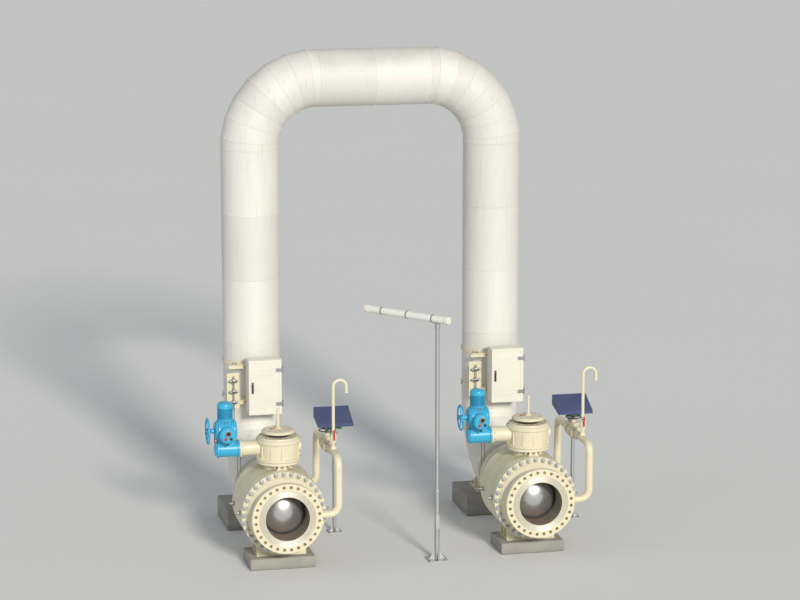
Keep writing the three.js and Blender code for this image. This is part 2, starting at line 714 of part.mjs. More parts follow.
function transmitterPost() {
  const [plateWidth, plateThickness] = POST_PLATE;
  const half = plateWidth / 2;
  const armTop = POST_HEIGHT - ARM_DROP;
  const armFoot = armTop - ARM_DEPTH;
  const armEnd = POST_Y + ARM_REACH;
  const [left, right] = [POST_X - ARM_WIDTH / 2, POST_X + ARM_WIDTH / 2];
  const plate = block([POST_X - half, POST_Y - half, 0], [POST_X + half, POST_Y + half, plateThickness]);
  const post = rod([POST_X, POST_Y, 0], [POST_X, POST_Y, POST_HEIGHT], POST_RADIUS, POST_SIDES);
  const arm = block([left, POST_Y, armFoot], [right, armEnd, armTop]);
  const riser = block([left, armEnd - RISER_DEPTH, armFoot], [right, armEnd, POST_HEIGHT + RISER_TOP]);
  return join(plate, post, arm, riser);
}

function transmitter() {
  const foot = POST_HEIGHT + GAP;
  const [headZ, cellZ] = [foot + HEAD_HEIGHT, foot + CELL_HEIGHT];
  const [halfHead, halfCell] = [HEAD_LENGTH / 2, CELL_LENGTH / 2];
  const [x, y] = [POST_X, POST_Y];
  const neck = rod([x, y, foot], [x, y, headZ], NECK_RADIUS, TUBE_SIDES);
  const head = rod([x - halfHead, y, headZ], [x + halfHead, y, headZ], HEAD_RADIUS, POST_SIDES);
  const cell = rod([x, y - halfCell, cellZ], [x, y + halfCell, cellZ], CELL_RADIUS, TUBE_SIDES);
  return join(neck, head, cell);
}

// A sloping roof sheet with side cheeks and a short back, open in front and below
function sunshade() {
  const half = HOOD_WIDTH / 2;
  const back = POST_Y + ARM_REACH + GAP + HOOD_SHEET;
  const top = POST_HEIGHT + HOOD_TOP;
  const front = back - HOOD_LENGTH;
  const side = new THREE.Shape([
    new THREE.Vector2(back, top - HOOD_BACK),
    new THREE.Vector2(back, top),
    new THREE.Vector2(front, top - HOOD_FALL),
    new THREE.Vector2(front, top - HOOD_FALL - HOOD_LIP),
  ]);
  const outer = new THREE.ExtrudeGeometry(side, { depth: HOOD_WIDTH, bevelEnabled: false });
  outer.applyMatrix4(new THREE.Matrix4().set(
    0, 0, 1, POST_X - half,
    1, 0, 0, 0,
    0, 1, 0, 0,
    0, 0, 0, 1,
  ));
  const inner = outer.clone().translate(0, -HOOD_SHEET, -HOOD_SHEET);
  const inside = block(
    [POST_X - half + HOOD_SHEET, front - HOOD_BACK, top - HOOD_LENGTH],
    [POST_X + half - HOOD_SHEET, back - HOOD_SHEET, top],
  );
  const room = geometryOf(solidOf(inner).intersect(solidOf(inside)));
  return cut(outer, room, room.clone().translate(0, 0, -HOOD_LIP));
}

// Lamp

function lampPole() {
  const [plateWidth, plateThickness] = LAMP_PLATE;
  const half = plateWidth / 2;
  const top = LAMP_HEIGHT - LAMP_RADIUS - GAP;
  const plate = block([LAMP_X - half, LAMP_Y - half, 0], [LAMP_X + half, LAMP_Y + half, plateThickness]);
  return join(plate, rod([LAMP_X, LAMP_Y, 0], [LAMP_X, LAMP_Y, top], LAMP_POLE_RADIUS, POST_SIDES));
}

// Made about the head of the pole along the loop's plane, and then turned and lifted into place
function tubeLamp() {
  const [socketX, socketY] = LAMP_SOCKET;
  const end = LAMP_RADIUS * 0.8;
  const tube = turned([
    [0, 0],
    [end, 0],
    [LAMP_RADIUS, LAMP_CAP],
    [LAMP_RADIUS, LAMP_LENGTH - LAMP_CAP],
    [end, LAMP_LENGTH],
    [0, LAMP_LENGTH],
  ], [LAMP_LENGTH * LAMP_NEAR_SHARE, 0, 0], [-1, 0, 0], POST_SIDES);
  const socket = block([-socketX / 2, -socketY / 2, -LAMP_RADIUS], [socketX / 2, socketY / 2, 0]);
  return join(tube, socket).rotateZ(-LAMP_TURN).translate(LAMP_X, LAMP_Y, LAMP_HEIGHT);
}

// Assembly

function piece(name, geometry, colour) {
  const [color, roughness, metalness] = COLOURS[colour];
  const finish = new THREE.MeshStandardMaterial({ color, roughness, metalness });
  const mesh = new THREE.Mesh(sealed(geometry), finish);
  mesh.name = name;
  return mesh;
}

function station(side, x, inward) {
  const group = new THREE.Group();
  group.position.x = x;
  group.add(
    piece(`${side}_leg`, leg(), 'cladding'),
    piece(`${side}_top_bend`, topBend(inward), 'cladding'),
    piece(`${side}_foot_bend`, footBend(), 'cladding'),
    piece(`${side}_inlet_flange`, inletNeck(), 'cream'),
    piece(`${side}_valve_body`, valveBody(), 'cream'),
    piece(`${side}_valve_outlet`, outletAdapter(), 'cream'),
    piece(`${side}_valve_bonnet`, bonnet(), 'cream'),
    piece(`${side}_gear_drum`, gearDrum(), 'cream'),
    piece(`${side}_actuator`, actuator(), 'blue'),
    piece(`${side}_handwheel`, handwheel(), 'blue'),
    piece(`${side}_foot_plinth`, footPlinth(), 'concrete'),
    piece(`${side}_foot_support`, trunnion(), 'cream'),
    piece(`${side}_valve_plinth`, valvePlinth(), 'concrete'),
    piece(`${side}_valve_saddle`, valveSaddle(), 'cream'),
    piece(`${side}_enclosure`, enclosure(), 'enclosure'),
    piece(`${side}_enclosure_door`, enclosureDoor(), 'enclosure'),
    piece(`${side}_instrument_rack`, instrumentRack(), 'cream'),
    piece(`${side}_bypass_line`, bypassLine(), 'cream'),
    piece(`${side}_transmitter_post`, transmitterPost(), 'galvanised'),
    piece(`${side}_transmitter`, transmitter(), 'green'),
    piece(`${side}_sunshade`, sunshade(), 'navy'),
  );
  return group;
}

const loop = new THREE.Group();
loop.add(
  station('left', -LEG_SPACING / 2, 1),
  station('right', LEG_SPACING / 2, -1),
  piece('top_run', topRun(), 'cladding'),
  piece('lamp_pole', lampPole(), 'galvanised'),
  piece('tube_lamp', tubeLamp(), 'lamp'),
);
loop.updateMatrixWorld(true);
const outline = new THREE.Box3().setFromObject(loop, true);
loop.position.set(-(outline.min.x + outline.max.x) / 2, -(outline.min.y + outline.max.y) / 2, -outline.min.z);

export default loop;
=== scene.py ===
import json
import math

import bmesh
import bpy
from bpy.props import FloatProperty, FloatVectorProperty, IntProperty, PointerProperty
from mathutils import Matrix, Vector


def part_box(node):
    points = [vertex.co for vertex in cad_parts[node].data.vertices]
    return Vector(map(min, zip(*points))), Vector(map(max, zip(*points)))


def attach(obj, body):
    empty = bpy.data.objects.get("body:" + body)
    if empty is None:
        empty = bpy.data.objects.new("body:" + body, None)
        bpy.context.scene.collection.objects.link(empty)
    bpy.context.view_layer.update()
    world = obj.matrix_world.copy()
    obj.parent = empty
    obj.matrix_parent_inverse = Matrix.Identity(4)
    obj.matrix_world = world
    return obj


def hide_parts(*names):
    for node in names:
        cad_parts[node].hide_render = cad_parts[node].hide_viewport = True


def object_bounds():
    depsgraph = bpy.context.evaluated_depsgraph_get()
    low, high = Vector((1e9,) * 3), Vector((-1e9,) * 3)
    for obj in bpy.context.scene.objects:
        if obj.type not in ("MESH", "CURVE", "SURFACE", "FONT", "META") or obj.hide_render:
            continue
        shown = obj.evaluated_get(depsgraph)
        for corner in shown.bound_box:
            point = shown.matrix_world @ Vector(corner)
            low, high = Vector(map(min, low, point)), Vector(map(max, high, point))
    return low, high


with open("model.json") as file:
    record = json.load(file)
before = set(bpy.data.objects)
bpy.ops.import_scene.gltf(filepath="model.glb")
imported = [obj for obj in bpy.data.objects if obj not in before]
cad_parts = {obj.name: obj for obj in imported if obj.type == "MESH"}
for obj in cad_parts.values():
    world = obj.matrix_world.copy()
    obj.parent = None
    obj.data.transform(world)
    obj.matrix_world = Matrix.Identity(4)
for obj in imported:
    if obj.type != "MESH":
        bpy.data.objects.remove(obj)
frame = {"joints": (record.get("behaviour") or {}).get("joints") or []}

bl_info = {
    "name": "Overhead Gas Pipe Loop",
    "version": (1, 0, 0),
    "blender": (4, 5, 0),
    "location": "View3D > Sidebar > Pipe Loop",
    "description": "Dresses a pipe loop and its two valve stations in cladding, paint and fittings",
    "category": "Object",
}

CAD_BOX = [list(corner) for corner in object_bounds()]
SIDES = ("left", "right")
UP = Vector((0, 0, 1))
DOWN = Vector((0, 0, -1))
RIGHT = Vector((1, 0, 0))
LEFT = Vector((-1, 0, 0))
BACK = Vector((0, 1, 0))
FRONT = Vector((0, -1, 0))
SQUARE_WAYS = (RIGHT, LEFT, FRONT, BACK)
DIAGONAL_WAYS = [Vector((x, y, 0)).normalized() for x in (-1, 1) for y in (-1, 1)]
# Sides of a large turned form
ROUND = 96
# Radius of the steel line inside the cladding
PIPE = 0.3555


# Places, read from the frame


def middle(name):
    low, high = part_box(name)
    return (low + high) / 2


class Station:
    """Where the pieces of one leg and its valve are."""

    def __init__(self, side):
        self.side = side
        low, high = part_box(f"{side}_leg")
        self.x = (low.x + high.x) / 2
        self.y = (low.y + high.y) / 2
        self.clad = (high.x - low.x) / 2
        self.leg_foot = low.z
        self.leg_head = high.z
        low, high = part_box(f"{side}_foot_bend")
        self.bend = (high.y - low.y) - self.clad
        self.line_z = low.z + self.clad
        low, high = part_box(f"{side}_inlet_flange")
        self.neck = Vector((self.x, high.y, self.line_z))
        self.inlet = low.y
        self.flange = (high.x - low.x) / 2
        low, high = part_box(f"{side}_valve_body")
        self.barrel = (high.x - low.x) / 2
        low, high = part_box(f"{side}_valve_outlet")
        self.adapter = high.y
        self.outlet = low.y
        self.stem = Vector((self.x, middle(f"{side}_valve_bonnet").y, 0))

    def name(self, piece):
        return f"{self.side}_{piece}"

    def line(self, distance):
        """The point on the valve's line that far in front of the valve's inlet face."""
        return Vector((self.x, self.inlet - distance, self.line_z))

    def point(self, x, y, z):
        """The point that far to the right of the leg's axis, at the given y and height."""
        return Vector((self.x + x, y, z))


# Node trees written as expressions


class Wire:
    """A node's output. Arithmetic on it adds Math nodes."""

    def __init__(self, net, socket):
        self.net = net
        self.socket = socket

    def _math(self, operation, first, second):
        return self.net.add("ShaderNodeMath", {"operation": operation}, [first, second])

    def __add__(self, other):
        return self._math("ADD", self, other)

    def __radd__(self, other):
        return self._math("ADD", other, self)

    def __sub__(self, other):
        return self._math("SUBTRACT", self, other)

    def __rsub__(self, other):
        return self._math("SUBTRACT", other, self)

    def __mul__(self, other):
        return self._math("MULTIPLY", self, other)

    def __rmul__(self, other):
        return self._math("MULTIPLY", other, self)

    def twin(self, name):
        """Another output of the same node."""
        return Wire(self.net, self.socket.node.outputs[name])


class Net:
    """A node tree with one method that adds any node."""

    def __init__(self, tree):
        self.tree = tree

    def add(self, kind, settings=None, inputs=None, output=0):
        """Adds a node. Its inputs are values or wires, listed in order or named."""
        node = self.tree.nodes.new(kind)
        for key, value in (settings or {}).items():
            setattr(node, key, value)
        pairs = enumerate(inputs) if isinstance(inputs, list) else (inputs or {}).items()
        for key, value in pairs:
            if isinstance(value, Wire):
                self.tree.links.new(value.socket, node.inputs[key])
            elif value is not None:
                node.inputs[key].default_value = value
        return Wire(self, node.outputs[output]) if node.outputs else None


def rgba(colour, factor=1.0):
    return tuple(channel * factor for channel in colour) + (1.0,)


class Paint(Net):
    """The node tree of one finish."""

    def __init__(self, name):
        self.material = bpy.data.materials.new(name)
        self.material.use_nodes = True
        super().__init__(self.material.node_tree)
        self.tree.nodes.clear()
        self.place = self.add("ShaderNodeTexCoord", output="Object")

    def between(self, low, high, value):
        """0 below low, 1 above high and a smooth step between."""
        inputs = {"Value": value, "From Min": low, "From Max": high}
        return self.add("ShaderNodeMapRange", {"interpolation_type": "SMOOTHSTEP"}, inputs)

    def mix(self, share, first, second):
        settings = {"data_type": "RGBA", "blend_type": "MIX", "clamp_factor": True}
        return self.add("ShaderNodeMix", settings, {0: share, 6: first, 7: second}, output=2)

    def noise(self, scale, detail, roughness=0.5, place=None):
        inputs = {"Vector": place or self.place, "Scale": scale, "Detail": detail, "Roughness": roughness}
        return self.add("ShaderNodeTexNoise", {}, inputs)

    def streaks(self, across, down, detail, roughness=0.5):
        """Noise drawn out along the height."""
        inputs = {"Vector": self.place, "Scale": (across, across, down)}
        stretched = self.add("ShaderNodeMapping", {}, inputs)
        return self.noise(1.0, detail, roughness, stretched)

    def bump(self, height, distance, strength, under=None):
        inputs = {"Height": height, "Distance": distance, "Strength": strength, "Normal": under}
        return self.add("ShaderNodeBump", {}, inputs)

    def height(self):
        return self.add("ShaderNodeSeparateXYZ", {}, [self.place], output=2)

    def upward(self):
        """How far the surface faces up, from -1 to 1."""
        normal = self.add("ShaderNodeNewGeometry", output="Normal")
        return self.add("ShaderNodeSeparateXYZ", {}, [normal], output=2)

    def close(self, **inputs):
        named = {key.replace("_", " "): value for key, value in inputs.items()}
        surface = self.add("ShaderNodeBsdfPrincipled", {}, named)
        self.add("ShaderNodeOutputMaterial", {}, {"Surface": surface})
        return self.material


# Finishes


def cladding_finish(colour):
    """Coated aluminium sheet. Each sheet has its own tone and polish, with dust on top and faint runs."""
    paint = Paint("sheet_cladding")
    sheet = paint.add("ShaderNodeAttribute", {"attribute_name": "sheet"}, output="Fac")
    number = paint.add("ShaderNodeMath", {"operation": "FLOOR"}, [sheet + 0.01])
    tone = paint.add("ShaderNodeTexWhiteNoise", {"noise_dimensions": "1D"}, {"W": number})
    cloud = paint.noise(1.3, 4.0, 0.55)
    runs = paint.streaks(26.0, 1.1, 3.0, 0.55)
    specks = paint.noise(90.0, 2.0)
    upright = 1 - paint.between(0.35, 0.75, paint.upward())
    dust = (1 - upright) * paint.between(0.3, 0.7, cloud) * 0.35
    dirt = paint.between(0.55, 0.8, runs) * upright * 0.3 + paint.between(0.64, 0.74, specks) * 0.14 + dust
    base = paint.mix(tone * 0.9, rgba(colour), rgba(colour, 0.9))
    base = paint.mix(paint.between(0.4, 0.7, cloud) * 0.35, base, rgba(colour, 0.86))
    base = paint.mix(dirt, base, (0.46, 0.43, 0.36, 1.0))
    rough = 0.56 + cloud * 0.12 + tone * 0.06 + dirt * 0.3
    ripple = paint.bump(paint.noise(2.4, 2.0), 0.02, 0.4)
    grain = paint.bump(paint.noise(130.0, 2.0), 0.0006, 0.5, ripple)
    return paint.close(
        Base_Color=base, Roughness=rough, Metallic=0.12, Specular_IOR_Level=0.25, Normal=grain,
    )


def coat_finish(name, colour, worn, gloss=0.38, grime=0.35):
    """Brushed or sprayed paint on cast and welded steel, with dust on top faces and faint runs."""
    paint = Paint(name)
    cloud = paint.noise(3.0, 4.0, 0.6)
    runs = paint.streaks(22.0, 1.6, 4.0, 0.6)
    specks = paint.noise(75.0, 2.0)
    dust = paint.between(0.55, 0.95, paint.upward()) * paint.between(0.35, 0.65, cloud)
    stain = paint.between(0.58, 0.78, runs) * grime + dust * (grime * 0.8)
    chips = paint.between(0.72, 0.76, specks) * paint.between(0.52, 0.62, cloud)
    base = paint.mix(paint.between(0.3, 0.75, cloud) * 0.5, rgba(colour), rgba(colour, 0.9))
    base = paint.mix(stain, base, rgba(worn))
    base = paint.mix(chips * 0.5, base, (0.16, 0.13, 0.10, 1.0))
    rough = gloss + stain * 0.35 + cloud * 0.08
    height = paint.noise(210.0, 2.0) * 0.35 + paint.noise(36.0, 3.0) * 0.65
    return paint.close(Base_Color=base, Roughness=rough, Normal=paint.bump(height, 0.0012, 0.5))


def concrete_finish(colour):
    paint = Paint("cast_concrete")
    cloud = paint.noise(2.6, 5.0, 0.6)
    sand = paint.noise(95.0, 4.0, 0.7)
    pits = paint.add("ShaderNodeTexVoronoi", {}, {"Vector": paint.place, "Scale": 55.0})
    pit = 1 - paint.between(0.06, 0.13, pits)
    wet = 1 - paint.between(0.02, 0.16, paint.height() + cloud * 0.09)
    base = paint.mix(paint.between(0.3, 0.7, cloud) * 0.8, rgba(colour), rgba(colour, 0.74))
    base = paint.mix(sand * 0.3, base, rgba(colour, 0.6))
    base = paint.mix(wet * 0.5, base, rgba(colour, 0.5))
    base = paint.mix(pit * 0.6, base, rgba(colour, 0.4))
    height = sand * 0.5 - pit * 0.6
    return paint.close(Base_Color=base, Roughness=0.92, Normal=paint.bump(height, 0.003, 0.7))


def metal_finish(name, colour, rough, grain_scale, spangled=0.5):
    """Bare or zinc-coated steel: a faint crystal pattern and a varying polish."""
    paint = Paint(name)
    crystals = {"Vector": paint.place, "Scale": grain_scale}
    spangle = paint.add("ShaderNodeTexVoronoi", {}, crystals, output="Color")
    tint = paint.add("ShaderNodeSeparateColor", {}, [spangle])
    cloud = paint.noise(5.0, 3.0)
    base = paint.mix(tint * spangled, rgba(colour), rgba(colour, 0.82))
    base = paint.mix(paint.between(0.55, 0.8, cloud) * 0.4, base, rgba(colour, 0.6))
    polish = rough + tint * (spangled * 0.2) + cloud * 0.12
    scratch = paint.bump(paint.streaks(240.0, 20.0, 2.0), 0.0004, 0.4)
    return paint.close(Base_Color=base, Roughness=polish, Metallic=0.85, Normal=scratch)


def shell_finish(colour):
    """Moulded glass-fibre plastic that has chalked a little."""
    paint = Paint("moulded_shell")
    cloud = paint.noise(4.0, 4.0, 0.6)
    stain = paint.between(0.6, 0.8, paint.streaks(30.0, 2.2, 3.0, 0.6)) * 0.3
    base = paint.mix(paint.between(0.35, 0.7, cloud) * 0.5, rgba(colour), rgba(colour, 0.92))
    base = paint.mix(stain, base, (0.42, 0.38, 0.28, 1.0))
    pebble = paint.bump(paint.noise(320.0, 2.0), 0.0006, 0.5)
    return paint.close(Base_Color=base, Roughness=0.55 + cloud * 0.1, Normal=pebble)


def lamp_finish(colour):
    paint = Paint("lamp_cover")
    cloud = paint.noise(6.0, 3.0)
    dust = paint.between(0.2, 0.9, paint.upward()) * paint.between(0.35, 0.7, cloud)
    base = paint.mix(dust * 0.45, rgba(colour), rgba(colour, 0.72))
    return paint.close(Base_Color=base, Roughness=0.3 + dust * 0.3, Normal=paint.bump(cloud, 0.001, 0.2))


# Forms added to a mesh


def across(direction):
    """Two unit directions square to the given one and to each other."""
    helper = UP if abs(direction.z) < 0.9 else RIGHT
    side = helper.cross(direction).normalized()
    return side, direction.cross(side)


def ring(centre, axes, radius, count, turned=0.0):
    """Even points round a centre, starting on the first axis and going towards the second."""
    side, over = axes
    angles = [turned + math.tau * i / count for i in range(count)]
    return [centre + (side * math.cos(a) + over * math.sin(a)) * radius for a in angles]


def skin(shape, first, second):
    """Adds the faces between two loops of corners, either of which may be a single point."""
    count = max(len(first), len(second))
    for i in range(count):
        j = (i + 1) % count
        pairs = ((first, i), (first, j), (second, j), (second, i))
        corners = list(dict.fromkeys(loop[k % len(loop)] for loop, k in pairs))
        if len(corners) > 2:
            shape.faces.new(corners)


def turn(shape, profile, start, direction, sides=ROUND):
    """Adds a turned form. Its profile of (radius, distance) closes on itself or on the axis."""
    closed = profile[0] == profile[-1] and profile[0][0] > 0
    loops = []
    for radius, distance in profile[:-1] if closed else profile:
        spots = ring(start + direction * distance, across(direction), radius, sides if radius > 0 else 1)
        loops.append([shape.verts.new(spot) for spot in spots])
    if closed:
        loops.append(loops[0])
    for first, second in zip(loops, loops[1:]):
        skin(shape, first, second)


def cylinder(radius, start, end):
    """The profile of a plain cylinder between two distances."""
    return [(0, start), (radius, start), (radius, end), (0, end)]


def band(inner, outer, start, end):
    """The profile of a square-edged ring between two distances."""
    return [(inner, start), (outer, start), (outer, end), (inner, end), (inner, start)]


def mirrored(half):
    """A profile whose given half starts in its middle."""
    return [(radius, -along) for radius, along in reversed(half[1:])] + half


def arc(radius, start, end, steps):
    """Points of an arc about the origin, with angles in degrees."""
    angles = [math.radians(start + (end - start) * i / steps) for i in range(steps + 1)]
    return [(radius * math.cos(a), radius * math.sin(a)) for a in angles]


def wheel_rim(radius, tube, steps):
    """The profile of a wheel's round rim."""
    section = [(radius + x, y) for x, y in arc(tube, 0, 360, steps)[:-1]]
    return [*section, section[0]]


def rod(shape, start, end, radius, sides=32):
    length = (end - start).length
    turn(shape, cylinder(radius, 0, length), start, (end - start).normalized(), sides)


def bent(shape, corners, radius, bend, sides=20, steps=8):
    """Adds a pipe through the corners, with a round bend at each inner one."""
    stops = [corners[0]]
    for before, corner, after in zip(corners, corners[1:], corners[2:]):
        into, out = (corner - before).normalized(), (after - corner).normalized()
        angle = into.angle(out)
        start = corner - into * (bend * math.tan(angle / 2))
        centre = start + (out - into * into.dot(out)).normalized() * bend
        axis = into.cross(out).normalized()
        for k in range(steps + 1):
            stops.append(centre + Matrix.Rotation(angle * k / steps, 3, axis) @ (start - centre))
    stops.append(corners[-1])
    sweep(shape, stops, radius, sides)


def sweep(shape, stops, radius, sides):
    """Adds a round pipe that goes straight from stop to stop."""
    last = len(stops) - 1
    headings = [(stops[min(i + 1, last)] - stops[max(i - 1, 0)]).normalized() for i in range(last + 1)]
    axes = across(headings[0])
    loops = []
    for i, centre in enumerate(stops):
        if i > 0:
            turned = headings[i - 1].rotation_difference(headings[i])
            axes = [turned @ axis for axis in axes]
        loops.append([shape.verts.new(spot) for spot in ring(centre, axes, radius, sides)])
    for first, second in zip(loops, loops[1:]):
        skin(shape, first, second)
    shape.faces.new(list(reversed(loops[0])))
    shape.faces.new(loops[-1])


def block(shape, low, high):
    spots = [(x, y, z) for x in (low[0], high[0]) for y in (low[1], high[1]) for z in (low[2], high[2])]
    corners = [shape.verts.new(spot) for spot in spots]
    for face in ((0, 1, 3, 2), (4, 6, 7, 5), (0, 4, 5, 1), (2, 3, 7, 6), (0, 2, 6, 4), (1, 5, 7, 3)):
        shape.faces.new([corners[i] for i in face])


def plate(shape, outline, centre, out, up, thickness):
    """Adds a flat plate. Its outline's points are (out, up) from the centre."""
    half = out.cross(up) * (thickness / 2)
    first, second = (
        [shape.verts.new(centre + out * a + up * b + half * sign) for a, b in outline] for sign in (-1, 1)
    )
    skin(shape, first, second)
    shape.faces.new(list(reversed(first)))
    shape.faces.new(second)


def gussets(shape, centre, inner, outer, levels, thickness, ways=SQUARE_WAYS):
    """Adds webs round a post. The levels are their foot, the top of their tip and their head."""
    foot, tip, head = levels
    outline = [(inner, foot), (outer, foot), (outer, tip), (inner, head)]
    for out in ways:
        plate(shape, outline, centre, out, UP, thickness)


# Meshes made into finished pieces

FINISHES = {}


def link(name, mesh):
    piece = bpy.data.objects.new(name, mesh)
    bpy.context.scene.collection.objects.link(piece)
    return piece


def applied(piece):
    """The piece with its modifiers made part of its mesh."""
    bpy.context.view_layer.update()
    graph = bpy.context.evaluated_depsgraph_get()
    source = piece.evaluated_get(graph)
    mesh = bpy.data.meshes.new_from_object(source, preserve_all_data_layers=True, depsgraph=graph)
    piece.modifiers.clear()
    old = piece.data
    piece.data = mesh
    bpy.data.meshes.remove(old)
    return piece


def solid(name, shape):
    """A new object from a bmesh, with its faces pointing out."""
    bmesh.ops.remove_doubles(shape, verts=shape.verts, dist=1e-6)
    bmesh.ops.recalc_face_normals(shape, faces=shape.faces)
    mesh = bpy.data.meshes.new(name)
    shape.to_mesh(mesh)
    shape.free()
    return link(name, mesh)


def rounded(piece, width, steps=2):
    bevel = piece.modifiers.new("Edge", "BEVEL")
    bevel.width = width
    bevel.segments = steps
    bevel.limit_method = "ANGLE"
    bevel.angle_limit = math.radians(28)
    bevel.use_clamp_overlap = True
    return applied(piece)


def drilled(piece, holes, chamfer=0.0025, reach=0.01):
    """Cuts round holes with chamfered rims, each from a point on one face to a point on the other."""
    shape = bmesh.new()
    for start, end, radius in holes:
        length = (end - start).length
        flare = radius + chamfer + reach
        profile = [
            (0, -reach), (flare, -reach), (radius, chamfer), (radius, length - chamfer),
            (flare, length + reach), (0, length + reach),
        ]
        turn(shape, profile, start, (end - start).normalized(), 32)
    cutter = solid(f"{piece.name}_cutter", shape)
    cut = piece.modifiers.new("Holes", "BOOLEAN")
    cut.operation = "DIFFERENCE"
    cut.solver = "EXACT"
    cut.object = cutter
    flat = piece.modifiers.new("Flat", "DECIMATE")
    flat.decimate_type = "DISSOLVE"
    flat.angle_limit = math.radians(0.5)
    applied(piece)
    bpy.data.objects.remove(cutter)
    return piece


def finish(piece, coat, body="loop", stands_for=(), edge=0.0, steps=2, sharp=32, flat=False):
    """Rounds a piece's edges, smooths it, paints it and hangs it on its body."""
    if edge:
        rounded(piece, edge, steps)
    piece.data.shade_smooth()
    piece.data.set_sharp_from_angle(angle=math.radians(sharp))
    if edge or flat:
        piece.modifiers.new("Flat faces", "WEIGHTED_NORMAL").keep_sharp = True
        applied(piece)
    piece.data.materials.clear()
    piece.data.materials.append(FINISHES[coat])
    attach(piece, body)
    if stands_for:
        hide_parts(*stands_for)


def made(name, shape, coat, **more):
    """Makes a finished piece of a bmesh."""
    finish(solid(name, shape), coat, **more)


def lathe(name, coat, profile, start, direction, **more):
    """Makes a finished piece of one turned form."""
    shape = bmesh.new()
    turn(shape, profile, start, direction)
    made(name, shape, coat, **more)


# Geometry node trees for what repeats or follows a path

TREES = {}


class Tree(Net):
    """A geometry node tree with named inputs. Its first input and its output are the geometry."""

    def __init__(self, name, inputs):
        super().__init__(bpy.data.node_groups.new(name, "GeometryNodeTree"))
        panel = self.tree.interface
        panel.new_socket("Geometry", in_out="INPUT", socket_type="NodeSocketGeometry")
        for label, kind in inputs.items():
            panel.new_socket(label, in_out="INPUT", socket_type=f"NodeSocket{kind}")
        panel.new_socket("Material", in_out="INPUT", socket_type="NodeSocketMaterial")
        panel.new_socket("Geometry", in_out="OUTPUT", socket_type="NodeSocketGeometry")
        self.entry = self.tree.nodes.new("NodeGroupInput")

    def value(self, label):
        return Wire(self, self.entry.outputs[label])

    def marked(self, kind, label):
        return self.add("GeometryNodeInputNamedAttribute", {"data_type": kind}, {"Name": label})

    def join(self, *parts):
        node = self.tree.nodes.new("GeometryNodeJoinGeometry")
        for part in parts:
            self.tree.links.new(part.socket, node.inputs[0])
        return Wire(self, node.outputs[0])

    def close(self, geometry):
        real = self.add("GeometryNodeRealizeInstances", {}, [geometry])
        inputs = {"Geometry": real, "Material": self.value("Material")}
        self.add("NodeGroupOutput", {}, [self.add("GeometryNodeSetMaterial", {}, inputs)])
        return self

    def align(self, vector, axis="Z"):
        return self.add("FunctionNodeAlignRotationToVector", {"axis": axis}, {"Vector": vector})

    def on_points(self, points, instance, rotation=None, selection=None):
        inputs = {"Points": points, "Instance": instance, "Rotation": rotation, "Selection": selection}
        return self.add("GeometryNodeInstanceOnPoints", {}, inputs)

    def lifted(self, geometry, height):
        offset = self.add("ShaderNodeCombineXYZ", {}, {"Z": height})
        return self.add("GeometryNodeTransform", {}, {"Geometry": geometry, "Translation": offset})

    def cylinder(self, sides, radius, depth):
        inputs = {"Vertices": sides, "Radius": radius, "Depth": depth}
        return self.add("GeometryNodeMeshCylinder", {}, inputs)

    def circle(self, count, radius):
        return self.add("GeometryNodeMeshCircle", {}, {"Vertices": count, "Radius": radius})

    def outline(self, sides, radius):
        return self.add("GeometryNodeCurvePrimitiveCircle", {}, {"Resolution": sides, "Radius": radius})

    def swept(self, path, outline):
        inputs = {"Curve": path, "Profile Curve": outline, "Fill Caps": True}
        return self.add("GeometryNodeCurveToMesh", {}, inputs)

    def screw_head(self):
        inputs = {"Segments": 8, "Rings": 5, "Radius": self.value("Screw")}
        return self.add("GeometryNodeMeshUVSphere", {}, inputs)


def clad_tree():
    """Sheet cladding round a path, with a swaged bead and a ring of screws where sheets lap."""
    tree = Tree("clad_pipe", {
        "Radius": "Float", "Sides": "Int", "Bead": "Float", "Screw": "Float", "Screws": "Int",
        "First Sheet": "Float",
    })
    number = tree.add("GeometryNodeInputIndex") + tree.value("First Sheet")
    path = tree.add("GeometryNodeMeshToCurve", {}, [tree.value("Geometry")])
    path = tree.add("GeometryNodeStoreNamedAttribute", {"data_type": "FLOAT", "domain": "POINT"}, {
        "Geometry": path, "Name": "sheet", "Value": number,
    })
    outline = tree.outline(tree.value("Sides"), tree.value("Radius"))
    bead = tree.swept(outline, tree.outline(8, tree.value("Bead")))
    seats = tree.circle(tree.value("Screws"), tree.value("Radius") - tree.value("Screw") * 0.3)
    screws = tree.on_points(tree.lifted(seats, 0.03), tree.screw_head())
    stops = tree.add("GeometryNodeCurveToPoints", {"mode": "EVALUATED"}, {"Curve": path})
    heading = tree.align(stops.twin("Tangent"))
    laps = tree.on_points(stops, tree.join(bead, screws), heading, tree.marked("BOOLEAN", "lap"))
    return tree.close(tree.join(tree.swept(path, outline), laps))


def seam_tree():
    """Lengthwise laps: a thin bead on each plain edge, and a row of screws on each marked one."""
    tree = Tree("seam_row", {"Bead": "Float", "Screw": "Float", "Pitch": "Float"})
    edges = {"Geometry": tree.value("Geometry"), "Selection": tree.marked("BOOLEAN", "row")}
    rows = tree.add("GeometryNodeSeparateGeometry", {}, edges)
    lap_path = tree.add("GeometryNodeMeshToCurve", {}, [rows.twin("Inverted")])
    bead = tree.swept(lap_path, tree.outline(8, tree.value("Bead")))
    row_path = tree.add("GeometryNodeMeshToCurve", {}, [rows])
    seats = tree.add("GeometryNodeCurveToPoints", {"mode": "LENGTH"}, {
        "Curve": row_path, "Length": tree.value("Pitch"),
    })
    return tree.close(tree.join(bead, tree.on_points(seats, tree.screw_head())))


